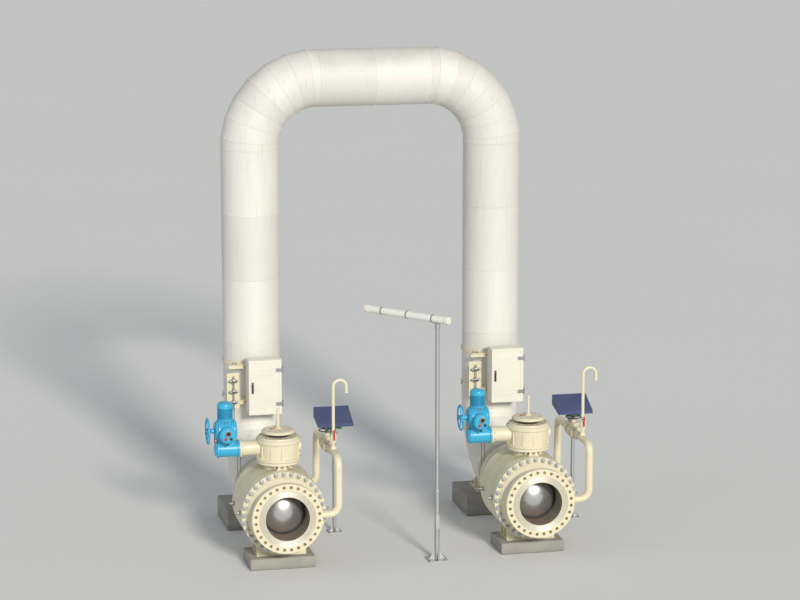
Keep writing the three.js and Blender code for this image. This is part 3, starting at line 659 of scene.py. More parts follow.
def stud_tree():
    """Studs round a circle, each with a hexagon nut at both ends."""
    tree = Tree("stud_circle", {
        "Count": "Int", "Circle": "Float", "Stud": "Float", "Nut": "Float", "Grip": "Float",
        "Facing": "Vector",
    })
    nut_height = tree.value("Nut") * 1.1
    stud = tree.cylinder(12, tree.value("Stud"), tree.value("Grip") + nut_height * 2.7)
    nut = tree.cylinder(6, tree.value("Nut"), nut_height)
    reach = (tree.value("Grip") + nut_height) * 0.5
    bolt = tree.join(stud, tree.lifted(nut, reach), tree.lifted(nut, reach * -1))
    circle = tree.on_points(tree.circle(tree.value("Count"), tree.value("Circle")), bolt)
    return tree.close(tree.on_points(tree.value("Geometry"), circle, tree.align(tree.value("Facing"))))


def bolt_tree():
    """Hexagon bolt heads on washers, one on each given point, facing the way that point says."""
    tree = Tree("bolt_heads", {"Head": "Float"})
    size = tree.value("Head")
    head = tree.lifted(tree.cylinder(6, size, size * 1.2), size * 0.6)
    washer = tree.cylinder(16, size * 1.35, size * 0.3)
    facing = tree.align(tree.marked("FLOAT_VECTOR", "facing"))
    return tree.close(tree.on_points(tree.value("Geometry"), tree.join(head, washer), facing))


def fin_tree():
    """Thin round fins along a line, as on a motor housing."""
    tree = Tree("cooling_fins", {
        "Count": "Int", "Radius": "Float", "Thickness": "Float", "First": "Vector", "Step": "Vector",
    })
    line = tree.add("GeometryNodeMeshLine", {}, {
        "Count": tree.value("Count"), "Start Location": tree.value("First"), "Offset": tree.value("Step"),
    })
    fin = tree.cylinder(40, tree.value("Radius"), tree.value("Thickness"))
    return tree.close(tree.on_points(line, fin, tree.align(tree.value("Step"))))


def rib_tree():
    """Plates standing out from a round housing at even steps, round each given point."""
    tree = Tree("ribs_round", {"Count": "Int", "Circle": "Float", "Size": "Vector", "Facing": "Vector"})
    rib = tree.add("GeometryNodeMeshCube", {}, {"Size": tree.value("Size")})
    outward = tree.align(tree.add("GeometryNodeInputPosition"), "X")
    ribs = tree.on_points(tree.circle(tree.value("Count"), tree.value("Circle")), rib, outward)
    return tree.close(tree.on_points(tree.value("Geometry"), ribs, tree.align(tree.value("Facing"))))


def grown(name, kind, coat, values, points, edges=(), marks=None, **more):
    """Makes a finished piece of what a tree grows on a small mesh of points."""
    mesh = bpy.data.meshes.new(name)
    mesh.from_pydata([tuple(point) for point in points], list(edges), [])
    for label, (data_type, numbers) in (marks or {}).items():
        layer = mesh.attributes.new(label, data_type, "POINT")
        field = "vector" if data_type == "FLOAT_VECTOR" else "value"
        for item, number in zip(layer.data, numbers):
            setattr(item, field, number)
    piece = link(name, mesh)
    modifier = piece.modifiers.new("Grow", "NODES")
    modifier.node_group = TREES[kind].tree
    given = dict(values, Material=FINISHES[coat])
    for item in modifier.node_group.interface.items_tree:
        if item.in_out == "INPUT" and item.name in given:
            modifier[item.identifier] = given[item.name]
    finish(applied(piece), coat, **more)


# Fasteners


def ring_seats(centre, direction, radius, count, turned=0.0):
    """Seats on a circle, each a point and the way it faces."""
    return [(spot, direction) for spot in ring(centre, across(direction), radius, count, turned)]


def bolts(name, coat, head, seats, body="loop"):
    facing = [tuple(way) for _, way in seats]
    points = [point for point, _ in seats]
    grown(name, "bolt", coat, {"Head": head}, points, marks={"facing": ("FLOAT_VECTOR", facing)}, body=body)


def studs(name, centre, count, circle, stud, nut, grip):
    """Studs through a joint on the valve's line."""
    values = {
        "Count": count, "Circle": circle, "Stud": stud, "Nut": nut, "Grip": grip, "Facing": tuple(FRONT),
    }
    grown(name, "stud", "galvanised", values, [centre])


def threads(name, seats, radius, reach):
    """The ends of studs or anchors, which stand out of their nuts."""
    shape = bmesh.new()
    for spot, out in seats:
        rod(shape, spot, spot + out * reach, radius, 12)
    made(name, shape, "galvanised", edge=0.001)


def anchors(name, centre, reach, head, thread, length, coat="galvanised"):
    """Four anchor bolts at the corners of a base plate, that far from its centre along x and y."""
    corners = [Vector((x * reach[0], y * reach[1], 0)) for x in (-1, 1) for y in (-1, 1)]
    seats = [(centre + corner, UP) for corner in corners]
    bolts(f"{name}_anchors", coat, head, seats)
    threads(f"{name}_threads", seats, thread, length)


# Cladding of the loop

GORES = 7
MITRE_SHARP = 7
# A sheet's number draws its tone, and each run of sheets has numbers of its own
TOP_RUN_SHEETS = 50
STATION_SHEETS = {"left": 100, "right": 200}
TOP_BEND_SHEETS = 10
FOOT_BEND_SHEETS = 20


def gore_corners(centre, start, end, radius):
    """The corners of a quarter bend's centre line, made of mitred gores."""
    gore = math.pi / 2 / GORES
    reach = radius / math.cos(gore / 2)
    angles = [(i + 0.5) * gore for i in range(GORES)]
    corners = [centre + (start * math.cos(a) + end * math.sin(a)) * reach for a in angles]
    return [centre + start * radius, *corners, centre + end * radius]


def sheet_ends(start, end, longest):
    """Points from start to end, no farther apart than the longest sheet."""
    count = math.ceil((end - start).length / longest)
    return [start.lerp(end, i / count) for i in range(count + 1)]


def clad(node, path, laps, radius, first):
    sizes = bpy.context.scene.loop_sizes
    values = {
        "Radius": radius - sizes.bead, "Sides": ROUND, "Bead": sizes.bead, "Screw": sizes.screw,
        "Screws": sizes.screws, "First Sheet": float(first),
    }
    edges = [(i, i + 1) for i in range(len(path) - 1)]
    grown(
        f"{node}_cladding", "clad", "cladding", values, path, edges, {"lap": ("BOOLEAN", laps)},
        stands_for=[node], sharp=MITRE_SHARP,
    )


def seams(name, path, radius, out):
    """The lengthwise laps of straight sheets, on the side that faces away from the valves."""
    sizes = bpy.context.scene.loop_sizes
    along = (path[-1] - path[0]).normalized()
    over = along.cross(out)
    gap = along * 0.012
    points, edges, rows = [], [], []
    for i, (start, end) in enumerate(zip(path, path[1:])):
        for row, stagger in enumerate((0.0, sizes.screw_row)):
            angle = (-1) ** i * sizes.seam_stagger + stagger
            spot = (out * math.cos(angle) + over * math.sin(angle)) * (radius - sizes.bead)
            edges.append((len(points), len(points) + 1))
            points += [start + gap + spot, end - gap + spot]
            rows += [bool(row)] * 2
    values = {"Bead": sizes.bead * 0.6, "Screw": sizes.screw, "Pitch": sizes.screw_pitch}
    grown(name, "seam", "cladding", values, points, edges, {"row": ("BOOLEAN", rows)})


def clad_straight(node, name, start, end, radius, first):
    path = sheet_ends(start, end, bpy.context.scene.loop_sizes.sheet)
    clad(node, path, [True] * len(path), radius, first)
    seams(name, path, radius, BACK)


def clad_top_run():
    low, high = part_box("top_run")
    centre = middle("top_run")
    start, end = Vector((low.x, centre.y, centre.z)), Vector((high.x, centre.y, centre.z))
    clad_straight("top_run", "top_run_seams", start, end, (high.z - low.z) / 2, TOP_RUN_SHEETS)


def clad_station(place):
    first = STATION_SHEETS[place.side]
    inward = RIGHT if place.side == "left" else LEFT
    foot, head = place.point(0, place.y, place.leg_foot), place.point(0, place.y, place.leg_head)
    clad_straight(place.name("leg"), place.name("leg_seams"), foot, head, place.clad, first)
    corners = gore_corners(head + inward * place.bend, -inward, UP, place.bend)
    laps = [False] + [True] * GORES + [False]
    clad(place.name("top_bend"), corners, laps, place.clad, first + TOP_BEND_SHEETS)
    corners = gore_corners(foot + FRONT * place.bend, BACK, DOWN, place.bend)
    corners[-1] = corners[-1] + BACK * bpy.context.scene.loop_sizes.collar
    clad(place.name("foot_bend"), corners, laps, place.clad, first + FOOT_BEND_SHEETS)
    end_collar(place)


def end_collar(place):
    """The folded end ring where the cladding stops before the flange, and its sealant."""
    sizes = bpy.context.scene.loop_sizes
    inner, outer, skirt, fold = PIPE + 0.002, place.clad, place.clad - sizes.bead, 0.055
    profile = [
        (inner, 0), (outer, 0), (outer, -fold), (skirt, -fold), (skirt, -sizes.collar),
        (inner, -sizes.collar), (inner, 0),
    ]
    lathe(place.name("end_collar"), "cladding", profile, place.neck + BACK * 0.0004, FRONT, edge=0.0015)
    sealant = [(PIPE, -0.004), (PIPE + 0.022, 0), (PIPE + 0.012, 0.007), (PIPE, 0.012), (PIPE, -0.004)]
    lathe(place.name("end_sealant"), "rubber", sealant, place.neck, FRONT, edge=0.003)
    centre = place.neck + BACK * 0.03
    spots = ring(centre, across(FRONT), outer - 0.0065, 24, 0.1)
    seats = [(spot, (spot - centre).normalized()) for spot in spots]
    bolts(place.name("collar_screws"), "steel", 0.0045, seats)


# Supports


def plinth(name):
    shape = bmesh.new()
    block(shape, *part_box(name))
    edge = bpy.context.scene.loop_sizes.concrete_edge
    made(f"{name}_casting", shape, "concrete", stands_for=[name], edge=edge, steps=3)


def foot_support(place):
    """A plinth, and on it a stub pipe under the bend with gussets and a bolted base plate."""
    plinth(place.name("foot_plinth"))
    name = place.name("foot_support")
    low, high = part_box(name)
    centre = place.point(0, place.y, low.z)
    half = (high.x - low.x) / 2
    base, stub, web = 0.03, 0.203, 0.016
    root = stub - 0.01
    shape = bmesh.new()
    block(shape, low, (high.x, high.y, low.z + base))
    rod(shape, centre, centre + UP * (high.z - low.z + 0.02), stub, ROUND)
    gussets(shape, centre, root, half - 0.012, (base, base + 0.03, 0.3), web)
    gussets(shape, centre, root, stub + 0.11, (base, base + 0.03, 0.24), web, DIAGONAL_WAYS)
    made(f"{name}_steel", shape, "cream", stands_for=[name], edge=0.003)
    weld = [(stub, 0.008), (stub + 0.011, 0), (stub, 0), (stub, 0.008)]
    lathe(f"{name}_weld", "cream", weld, centre + UP * base, UP, edge=0.002)
    inset = half - 0.05
    anchors(name, centre + UP * (base + 0.002), (inset, inset), 0.022, 0.011, 0.055)


def valve_saddle(place):
    """A plinth, and on it a curved seat on cross webs with a bolted base plate."""
    plinth(place.name("valve_plinth"))
    name = place.name("valve_saddle")
    low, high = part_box(name)
    half, long = (high.x - low.x) / 2, (high.y - low.y) / 2
    axis = place.point(0, (low.y + high.y) / 2, place.line_z)
    base, inner = 0.025, place.barrel + 0.0005
    outer = inner + 0.014
    floor = low.z - place.line_z + base
    edge_angle = math.degrees(math.acos(half / outer))
    shape = bmesh.new()
    block(shape, low, (high.x, high.y, low.z + base))
    web = [(-half, floor), *arc(outer - 0.003, -180 + edge_angle, -edge_angle, 28), (half, floor)]
    for y in (-long + 0.03, 0, long - 0.03):
        plate(shape, web, axis + BACK * y, RIGHT, UP, 0.02)
    lip = edge_angle + 1
    seat = arc(inner, -180 + lip, -lip, 28) + arc(outer, -lip, -180 + lip, 28)
    plate(shape, seat, axis, RIGHT, UP, long * 2)
    for x in (-0.26, 0, 0.26):
        top = -math.sqrt((outer - 0.003) ** 2 - x ** 2)
        side = [(-long + 0.04, floor), (long - 0.04, floor), (long - 0.04, top), (-long + 0.04, top)]
        plate(shape, side, axis + RIGHT * x, BACK, UP, 0.018)
    made(f"{name}_steel", shape, "cream", stands_for=[name], edge=0.003)
    centre = place.point(0, axis.y, low.z + base + 0.002)
    anchors(name, centre, (half - 0.045, long - 0.085), 0.02, 0.01, 0.048)


# Valve

# Radii
FACE = 0.43
HUB = 0.42
CLOSURE = 0.565
BORE = 0.335
# Thickness of a line flange, and how far its face stands out
FLANGE = 0.11
FACE_STEP = 0.008
# Distances in front of the inlet face
INLET_CLOSURE = 0.33
OUTLET_CLOSURE = 1.22
BARREL_END = 1.15


def inlet_flange(place):
    """The neck that comes out of the cladding and its welded flange."""
    name = place.name("inlet_flange")
    face = place.neck.y - place.inlet - 0.001
    back = face - FLANGE
    profile = [
        (0, 0.0), (PIPE, 0.0), (PIPE, back - 0.215), (PIPE + 0.006, back - 0.207),
        (PIPE + 0.006, back - 0.195), (PIPE, back - 0.187), (PIPE + 0.004, back - 0.165),
        (HUB - 0.012, back - 0.05), (HUB, back - 0.024), (HUB + 0.008, back - 0.006), (HUB + 0.022, back),
        (place.flange, back), (place.flange, face - FACE_STEP), (FACE, face - FACE_STEP), (FACE, face),
        (0, face),
    ]
    edge = bpy.context.scene.loop_sizes.casting_edge
    lathe(f"{name}_steel", "cream", profile, place.neck, FRONT, edge=edge, stands_for=[name])


def valve_body(place):
    """The barrel with its inlet flange, cone and closure ring."""
    name = place.name("valve_body")
    rim, barrel = place.flange, place.barrel
    profile = [
        (0, 0.002), (FACE, 0.002), (FACE, FACE_STEP), (rim, FACE_STEP), (rim, FLANGE), (HUB + 0.022, FLANGE),
        (HUB + 0.008, FLANGE + 0.006), (HUB, FLANGE + 0.024), (HUB, FLANGE + 0.06),
        (HUB + 0.012, FLANGE + 0.085), (CLOSURE - 0.02, INLET_CLOSURE - 0.035),
        (CLOSURE, INLET_CLOSURE - 0.015), (CLOSURE, INLET_CLOSURE), (barrel, INLET_CLOSURE), (barrel, 0.4),
        (barrel - 0.009, 0.404), (barrel - 0.009, 0.412), (barrel, 0.416), (barrel, BARREL_END - 0.004),
        (barrel - 0.006, BARREL_END), (0, BARREL_END),
    ]
    edge = bpy.context.scene.loop_sizes.casting_edge
    lathe(f"{name}_casting", "cream", profile, place.line(0), FRONT, edge=edge, stands_for=[name])
    root = barrel - 0.008
    ridge = [(root, 0.0), (barrel, 0.006), (barrel, 0.03), (root, 0.036), (root, 0.0)]
    for i, distance in enumerate((0.56, 0.99)):
        lathe(f"{name}_band_{i + 1}", "cream", ridge, place.line(distance), FRONT, edge=0.002)


def valve_outlet(place):
    """The far adapter with its open bore and drilled flange."""
    name = place.name("valve_outlet")
    sizes = bpy.context.scene.loop_sizes
    rim, barrel = place.flange, place.barrel
    start = place.inlet - place.adapter
    end = place.inlet - place.outlet
    back = end - FLANGE
    profile = [
        (BORE, start), (barrel - 0.006, start), (barrel, start + 0.004), (barrel, start + 0.07),
        (CLOSURE, start + 0.07), (CLOSURE, start + 0.085), (CLOSURE - 0.02, start + 0.105),
        (HUB + 0.012, back - 0.085), (HUB, back - 0.06), (HUB, back - 0.024), (HUB + 0.008, back - 0.006),
        (HUB + 0.022, back), (rim, back), (rim, end - FACE_STEP), (FACE, end - FACE_STEP),
        (FACE, end - 0.0005), (BORE, end - 0.0005), (BORE, start),
    ]
    shape = bmesh.new()
    turn(shape, profile, place.line(0), FRONT)
    piece = rounded(solid(f"{name}_casting", shape), 0.003)
    half_step = math.pi / sizes.flange_bolts
    holes = ring_seats(place.line(back), FRONT, sizes.bolt_circle, sizes.flange_bolts, half_step)
    drilled(piece, [(spot, spot + out * (FLANGE - FACE_STEP), sizes.stud + 0.0025) for spot, out in holes])
    finish(piece, "cream", stands_for=[name], flat=True)
    lathe(place.name("outlet_face"), "steel", face_grooves(), place.line(end - 0.003), FRONT)
    liner = band(BORE - 0.002, BORE + 0.001, start, end - 0.001)
    lathe(place.name("outlet_liner"), "oiled", liner, place.line(0), FRONT)


def face_grooves(count=12, pitch=0.0072, top=0.003, root=0.0018):
    """The profile of a gasket face with fine turned grooves."""
    profile = [(BORE + 0.003, 0.0)]
    for i in range(count):
        radius = BORE + 0.008 + i * pitch
        profile += [(radius, top), (radius + pitch / 2, root)]
    return [*profile, (FACE - 0.001, top), (FACE - 0.001, 0.0), (BORE + 0.003, 0.0)]


def valve_ball(place):
    """The closed ball, seen through the outlet bore, in its seat ring."""
    ball, opening = 0.48, BORE - 0.004
    seat_line = place.inlet - place.adapter
    crown = math.asin(opening / ball)
    sunk = seat_line - ball * math.cos(crown)
    dome = [(x, sunk + y) for x, y in arc(ball, 90 - math.degrees(crown), 90, 12)[:-1]]
    profile = [(0, seat_line - 0.03), (opening, seat_line - 0.03), *dome, (0, sunk + ball)]
    lathe(place.name("ball"), "polished", profile, place.line(0), FRONT, sharp=40)
    inner, lip = opening - 0.022, seat_line + 0.04
    seat = [
        (inner, seat_line + 0.004), (opening, seat_line + 0.004), (opening, lip), (opening - 0.012, lip),
        (inner, seat_line + 0.028), (inner, seat_line + 0.004),
    ]
    lathe(place.name("ball_seat"), "rubber", seat, place.line(0), FRONT, edge=0.001)


def valve_fasteners(place):
    sizes = bpy.context.scene.loop_sizes
    count, circle = sizes.flange_bolts, sizes.bolt_circle
    studs(place.name("flange_studs"), place.line(0), count, circle, sizes.stud, sizes.nut, FLANGE * 2)
    count, circle, head = 32, place.barrel - 0.036, 0.029
    seats = ring_seats(place.line(INLET_CLOSURE), BACK, circle, count)
    seats += ring_seats(place.line(OUTLET_CLOSURE), FRONT, circle, count)
    bolts(place.name("closure_nuts"), "galvanised", head, seats)
    threads(place.name("closure_studs"), seats, head * 0.52, 0.052)


def valve_fittings(place):
    """Lifting lugs on the barrel, and the drain and grease fittings on its flanks."""
    shape = bmesh.new()
    thick, eye, rise = 0.03, 0.026, 0.045
    lug = [(-0.095, -0.03), (0.095, -0.03), *[(x, y + rise) for x, y in arc(0.055, 15, 165, 14)]]
    holes = []
    for distance in (0.47, 1.08):
        spot = place.line(distance) + UP * (place.barrel - 0.006)
        plate(shape, lug, spot, RIGHT, UP, thick)
        centre = spot + UP * rise
        holes.append((centre + BACK * (thick / 2), centre + FRONT * (thick / 2), eye))
    piece = rounded(solid(place.name("lifting_lugs"), shape), 0.003)
    finish(drilled(piece, holes), "cream", flat=True)
    shape = bmesh.new()
    boss = [(0, 0), (0.042, 0), (0.042, 0.012), (0.026, 0.016), (0.026, 0.04), (0, 0.04)]
    nipple = [(0, 0.04), (0.02, 0.04), (0.02, 0.062), (0.008, 0.066), (0.008, 0.084), (0, 0.084)]
    for out, distance in ((LEFT, 0.5), (RIGHT, 0.5), (LEFT, 1.05), (RIGHT, 1.05)):
        spot = place.line(distance) + out * (place.barrel - 0.004)
        turn(shape, boss, spot, out, 32)
        turn(shape, nipple, spot, out, 6)
    drain = [(0, 0), (0.042, 0), (0.042, 0.014), (0.026, 0.018), (0.026, 0.05), (0, 0.05)]
    turn(shape, drain, place.line(0.775) + DOWN * (place.barrel - 0.004), DOWN, 32)
    made(place.name("body_fittings"), shape, "steel", edge=0.0015)


# Top works

# Radii
DRUM = 0.34
WORM = 0.135
# Heights
DRUM_TOP = 2.0
CAP_BASE = 2.045
WORM_Z = 1.83
# How far to the left of the stem the worm's tube ends
WORM_END = 0.6


def bonnet(place):
    name = place.name("valve_bonnet")
    low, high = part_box(name)
    neck, flange, thick = 0.23, (high.x - low.x) / 2, 0.045
    top = high.z
    profile = [
        (0, low.z - 0.03), (neck, low.z - 0.03), (neck, top - thick - 0.02),
        (neck + 0.012, top - thick - 0.004), (flange, top - thick), (flange, top - 0.004),
        (flange - 0.03, top - 0.004), (flange - 0.03, top), (0, top),
    ]
    lathe(f"{name}_casting", "cream", profile, place.stem, UP, edge=0.004, stands_for=[name])
    seats = ring_seats(place.stem + UP * (top - thick), DOWN, flange - 0.042, 16)
    bolts(place.name("bonnet_nuts"), "galvanised", 0.022, seats)


def gear_drum(place):
    """Worm gear housing with its ribs, cover, position cap and indicator rod."""
    name = place.name("gear_drum")
    low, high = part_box(name)
    profile = [
        (0, low.z), (DRUM - 0.004, low.z), (DRUM - 0.004, low.z + 0.035), (DRUM - 0.028, low.z + 0.045),
        (DRUM - 0.02, DRUM_TOP - 0.1), (DRUM, DRUM_TOP - 0.085), (DRUM, DRUM_TOP - 0.045),
        (DRUM - 0.012, DRUM_TOP - 0.03), (DRUM - 0.03, DRUM_TOP - 0.022), (DRUM - 0.036, DRUM_TOP),
        (0.2, DRUM_TOP), (0.19, DRUM_TOP - 0.006), (0, DRUM_TOP - 0.006),
    ]
    shape = bmesh.new()
    turn(shape, profile, place.stem, UP)
    worm = place.stem + UP * WORM_Z
    tube = [
        (0, 0.1), (0.118, 0.1), (0.112, WORM_END - 0.09), (0.122, WORM_END - 0.036), (WORM, WORM_END - 0.03),
        (WORM, WORM_END), (0, WORM_END),
    ]
    turn(shape, tube, worm, LEFT)
    made(f"{name}_casting", shape, "cream", edge=0.005, stands_for=[name])
    boss = [(0, 0.1), (0.09, 0.1), (0.09, DRUM - 0.006), (0.062, DRUM - 0.002), (0, DRUM - 0.002)]
    lathe(place.name("worm_cover"), "cream", boss, worm, RIGHT, edge=0.003)
    values = {"Count": 12, "Circle": DRUM - 0.022, "Size": (0.022, 0.014, 0.2), "Facing": (0.0, 0.0, 1.0)}
    belt = [place.stem + UP * (low.z + 0.14)]
    grown(place.name("drum_ribs"), "ribs", "cream", values, belt, edge=0.003)
    cover = ring_seats(place.stem + UP * DRUM_TOP, UP, 0.275, 16)
    bolts(place.name("cover_bolts"), "galvanised", 0.013, cover)
    worm_flange = ring_seats(worm + LEFT * (WORM_END - 0.03), RIGHT, WORM - 0.011, 8, math.pi / 8)
    bolts(place.name("base_bolts"), "galvanised", 0.012, worm_flange)
    position_cap(place, high.z)


def position_cap(place, rod_top):
    """The neck painted black as the shade in the gap under the cap, the round cap over it and the rod that
    shows the valve's position.
    """
    # The neck's black rubber finish is painted shade: it stands in for the dark gap under the cap's overhang
    neck = cylinder(0.15, DRUM_TOP - 0.01, DRUM_TOP + 0.05)
    lathe(place.name("cap_neck_painted_shade"), "rubber", neck, place.stem, UP, edge=0.003)
    top = CAP_BASE + 0.06
    cap = [
        (0, CAP_BASE), (0.238, CAP_BASE), (0.25, CAP_BASE + 0.01), (0.25, CAP_BASE + 0.03),
        (0.236, top - 0.014), (0.15, top - 0.002), (0.06, top), (0, top),
    ]
    lathe(place.name("position_cap"), "cream", cap, place.stem, UP, edge=0.003)
    seats = ring_seats(place.stem + UP * (CAP_BASE + 0.05), UP, 0.2, 8)
    bolts(place.name("cap_bolts"), "galvanised", 0.009, seats)
    stem = [
        (0, top - 0.01), (0.05, top - 0.01), (0.05, top + 0.014), (0.03, top + 0.03), (0.02, top + 0.036),
        (0.02, rod_top - 0.05), (0.022, rod_top - 0.045), (0.022, rod_top - 0.01), (0.014, rod_top),
        (0, rod_top),
    ]
    lathe(place.name("indicator_rod"), "cream", stem, place.stem, UP, edge=0.002)
    pointer = [
        (-0.02, -0.012), (0.1, -0.012), (0.1, -0.026), (0.14, 0.0), (0.1, 0.026), (0.1, 0.012),
        (-0.02, 0.012),
    ]
    shape = bmesh.new()
    plate(shape, pointer, place.stem + UP * (top + 0.004), LEFT, FRONT, 0.006)
    made(place.name("indicator_pointer"), shape, "red", edge=0.001)


# Electric actuator

# Radii
CASE = 0.165
CONTROLS = 0.125
# Heights
CASE_Z = 2.12
MOTOR_TOP = 2.56
# Distances to the left of the stem
CASE_START = 0.64
CASE_END = 0.97
# How far the controls reach in front of the case's axis
CONTROLS_FRONT = 0.33


def actuator(place):
    """The adapter on the worm, the case over it, and on the case the motor and the local controls."""
    name = place.name("actuator")
    worm, axis = place.stem + UP * WORM_Z, place.stem + UP * CASE_Z
    adapter = [
        (0, WORM_END + 0.0004), (WORM, WORM_END + 0.0004), (WORM, WORM_END + 0.028),
        (0.12, WORM_END + 0.034), (0.116, CASE_END - 0.07), (0.128, CASE_END - 0.062),
        (0.128, CASE_END - 0.034), (0.116, CASE_END - 0.028), (0.098, CASE_END - 0.006), (0.06, CASE_END),
        (0, CASE_END),
    ]
    case = [
        (0, CASE_START), (0.12, CASE_START), (0.142, CASE_START + 0.008), (0.15, CASE_START + 0.03),
        (CASE, CASE_START + 0.034), (CASE, CASE_START + 0.052), (0.158, CASE_START + 0.056),
        (0.158, CASE_START + 0.06), (CASE, CASE_START + 0.064), (CASE, CASE_START + 0.082),
        (0.154, CASE_START + 0.088), (0.154, CASE_END - 0.08), (CASE, CASE_END - 0.074),
        (CASE, CASE_END - 0.05), (0.15, CASE_END - 0.044), (0.136, CASE_END - 0.012), (0.11, CASE_END),
        (0, CASE_END),
    ]
    boss = [
        (0, CASE_END - 0.01), (0.04, CASE_END - 0.01), (0.036, CASE_END + 0.05), (0.028, CASE_END + 0.058),
        (0, CASE_END + 0.058),
    ]
    shape = bmesh.new()
    turn(shape, adapter, worm, LEFT)
    turn(shape, case, axis, LEFT)
    block(shape, worm + Vector((-CASE_END + 0.045, -0.1, 0)), axis + Vector((-CASE_START - 0.045, 0.1, 0)))
    turn(shape, boss, axis, LEFT, 48)
    made(f"{name}_case", shape, "blue", edge=0.004, stands_for=[name])
    centre = place.stem + LEFT * ((CASE_START + CASE_END) / 2)
    motor(place, centre)
    controls(place, centre + UP * (CASE_Z - 0.02))
    seats = ring_seats(axis + LEFT * (CASE_START + 0.034), RIGHT, CASE - 0.01, 10, 0.3)
    seats += ring_seats(axis + LEFT * (CASE_END - 0.05), LEFT, CASE - 0.009, 10, 0.3)
    seats += ring_seats(worm + LEFT * (WORM_END + 0.028), LEFT, WORM - 0.011, 8, math.pi / 8)
    bolts(place.name("actuator_bolts"), "steel", 0.0075, seats)


def motor(place, axis):
    """The upright motor with its cooling fins and fan cover."""
    foot = CASE_Z + 0.1
    profile = [
        (0, foot), (0.11, foot), (0.11, foot + 0.055), (0.12, foot + 0.06), (0.12, foot + 0.084),
        (0.1, foot + 0.09), (0.1, MOTOR_TOP - 0.1), (0.118, MOTOR_TOP - 0.094), (0.118, MOTOR_TOP - 0.05),
        (0.108, MOTOR_TOP - 0.026), (0.085, MOTOR_TOP - 0.01), (0.05, MOTOR_TOP - 0.002), (0, MOTOR_TOP),
    ]
    lathe(place.name("motor"), "blue", profile, axis, UP, edge=0.003)
    first, last, count = foot + 0.102, MOTOR_TOP - 0.106, 12
    values = {
        "Count": count, "Radius": 0.117, "Thickness": 0.005, "First": (axis.x, axis.y, first),
        "Step": (0.0, 0.0, (last - first) / (count - 1)),
    }
    grown(place.name("motor_fins"), "fins", "blue", values, [axis], edge=0.001)
    shape = bmesh.new()
    for out in (FRONT, RIGHT, BACK):
        for sign in (-1, 1):
            clamp = axis + UP * (foot + 0.02) + out * 0.118 + out.cross(UP) * (0.02 * sign)
            rod(shape, clamp, clamp + UP * 0.05, 0.007, 8)
    made(place.name("motor_clamps"), shape, "steel", edge=0.001)


def controls(place, axis):
    """The local control housing, facing away from the leg: cover, window, selector and button."""
    front = CONTROLS_FRONT
    profile = [
        (0, 0.1), (0.112, 0.1), (0.112, front - 0.11), (CONTROLS, front - 0.104), (CONTROLS, front - 0.084),
        (0.119, front - 0.08), (0.119, front - 0.076), (CONTROLS, front - 0.072), (CONTROLS, front - 0.052),
        (0.115, front - 0.04), (0.1, front - 0.026), (0.06, front - 0.02), (0, front - 0.02),
    ]
    lathe(place.name("controls_housing"), "blue", profile, axis, FRONT, edge=0.003)
    face = axis + FRONT * (front - 0.021)
    window = face + UP * 0.034
    bezel = [(0.034, 0), (0.05, 0), (0.05, 0.009), (0.044, 0.013), (0.034, 0.013), (0.034, 0)]
    lathe(place.name("window_ring"), "steel", bezel, window, FRONT, edge=0.001)
    glass = [(0, 0), (0.036, 0), (0.036, 0.008), (0.02, 0.0105), (0, 0.011)]
    lathe(place.name("window_glass"), "glass", glass, window, FRONT)
    knob = [(0, 0), (0.022, 0), (0.022, 0.012), (0.014, 0.016), (0.012, 0.02), (0, 0.02)]
    for x, coat, label in ((-0.042, "red", "selector"), (0.042, "dark", "push_button")):
        lathe(place.name(label), coat, knob, face + Vector((x, 0, -0.044)), FRONT, edge=0.0015)
    seats = ring_seats(axis + FRONT * (front - 0.052), FRONT, CONTROLS - 0.009, 8, math.pi / 8)
    bolts(place.name("controls_bolts"), "steel", 0.006, seats)
    shape = bmesh.new()
    gland = [(0, 0), (0.024, 0), (0.024, 0.03), (0.017, 0.034), (0.017, 0.056), (0.012, 0.06), (0, 0.06)]
    for ahead in (0.13, 0.185, 0.24):
        turn(shape, gland, axis + FRONT * ahead + DOWN * 0.1, DOWN, 6)
    made(place.name("cable_glands"), shape, "dark", edge=0.001)
    shape = bmesh.new()
    pivot = axis + Vector((-0.1, 0.03, -0.04))
    bent(shape, [pivot, pivot + LEFT * 0.06, pivot + Vector((-0.06, -0.02, -0.13))], 0.008, 0.02, 12, 5)
    made(place.name("hand_lever"), shape, "red")


def handwheel(place):
    """A handwheel with five spokes, and the nut on its shaft."""
    name = place.name("handwheel")
    body = f"{place.side}_wheel"
    low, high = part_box(name)
    centre = middle(name)
    centre.x = high.x
    depth, tube = high.x - low.x, 0.014
    rim = (high.z - low.z) / 2 - tube
    plane = centre + LEFT * 0.034
    shape = bmesh.new()
    turn(shape, wheel_rim(rim, tube, 16), plane, LEFT)
    hub = [(0, 0), (0.034, 0), (0.034, depth - 0.018), (0.026, depth - 0.006), (0.02, depth), (0, depth)]
    turn(shape, hub, centre, LEFT, 48)
    for out in ring(Vector(), (BACK, UP), 1, 5):
        path = [plane + out * 0.02, plane + out * 0.09 + RIGHT * 0.008, plane + out * (rim - 0.004)]
        bent(shape, path, 0.0095, 0.2, 12, 4)
    made(f"{name}_spoked", shape, "blue", body=body, stands_for=[name], edge=0.0015, sharp=50)
    shape = bmesh.new()
    turn(shape, cylinder(0.013, depth - 0.004, depth - 0.001), centre, LEFT, 6)
    made(place.name("wheel_nut"), shape, "steel", body=body)


# Instrument enclosure

BOX_WIDTH = 0.52
BOX_DEPTH = 0.26
WALL = 0.02
BACK_PLATE = 0.003
# How far the door's leaf lies behind the foremost edge of its border
LIP = 0.007
# Height of a hinge knuckle
KNUCKLE = 0.07


def upright_loop(shape, low, high, y, inset=0.0):
    """Adds the four corners of an upright rectangle, inside the given box by the inset."""
    x0, x1, z0, z1 = low.x + inset, high.x - inset, low.z + inset, high.z - inset
    return [shape.verts.new((x, y, z)) for x, z in ((x0, z0), (x1, z0), (x1, z1), (x0, z1))]


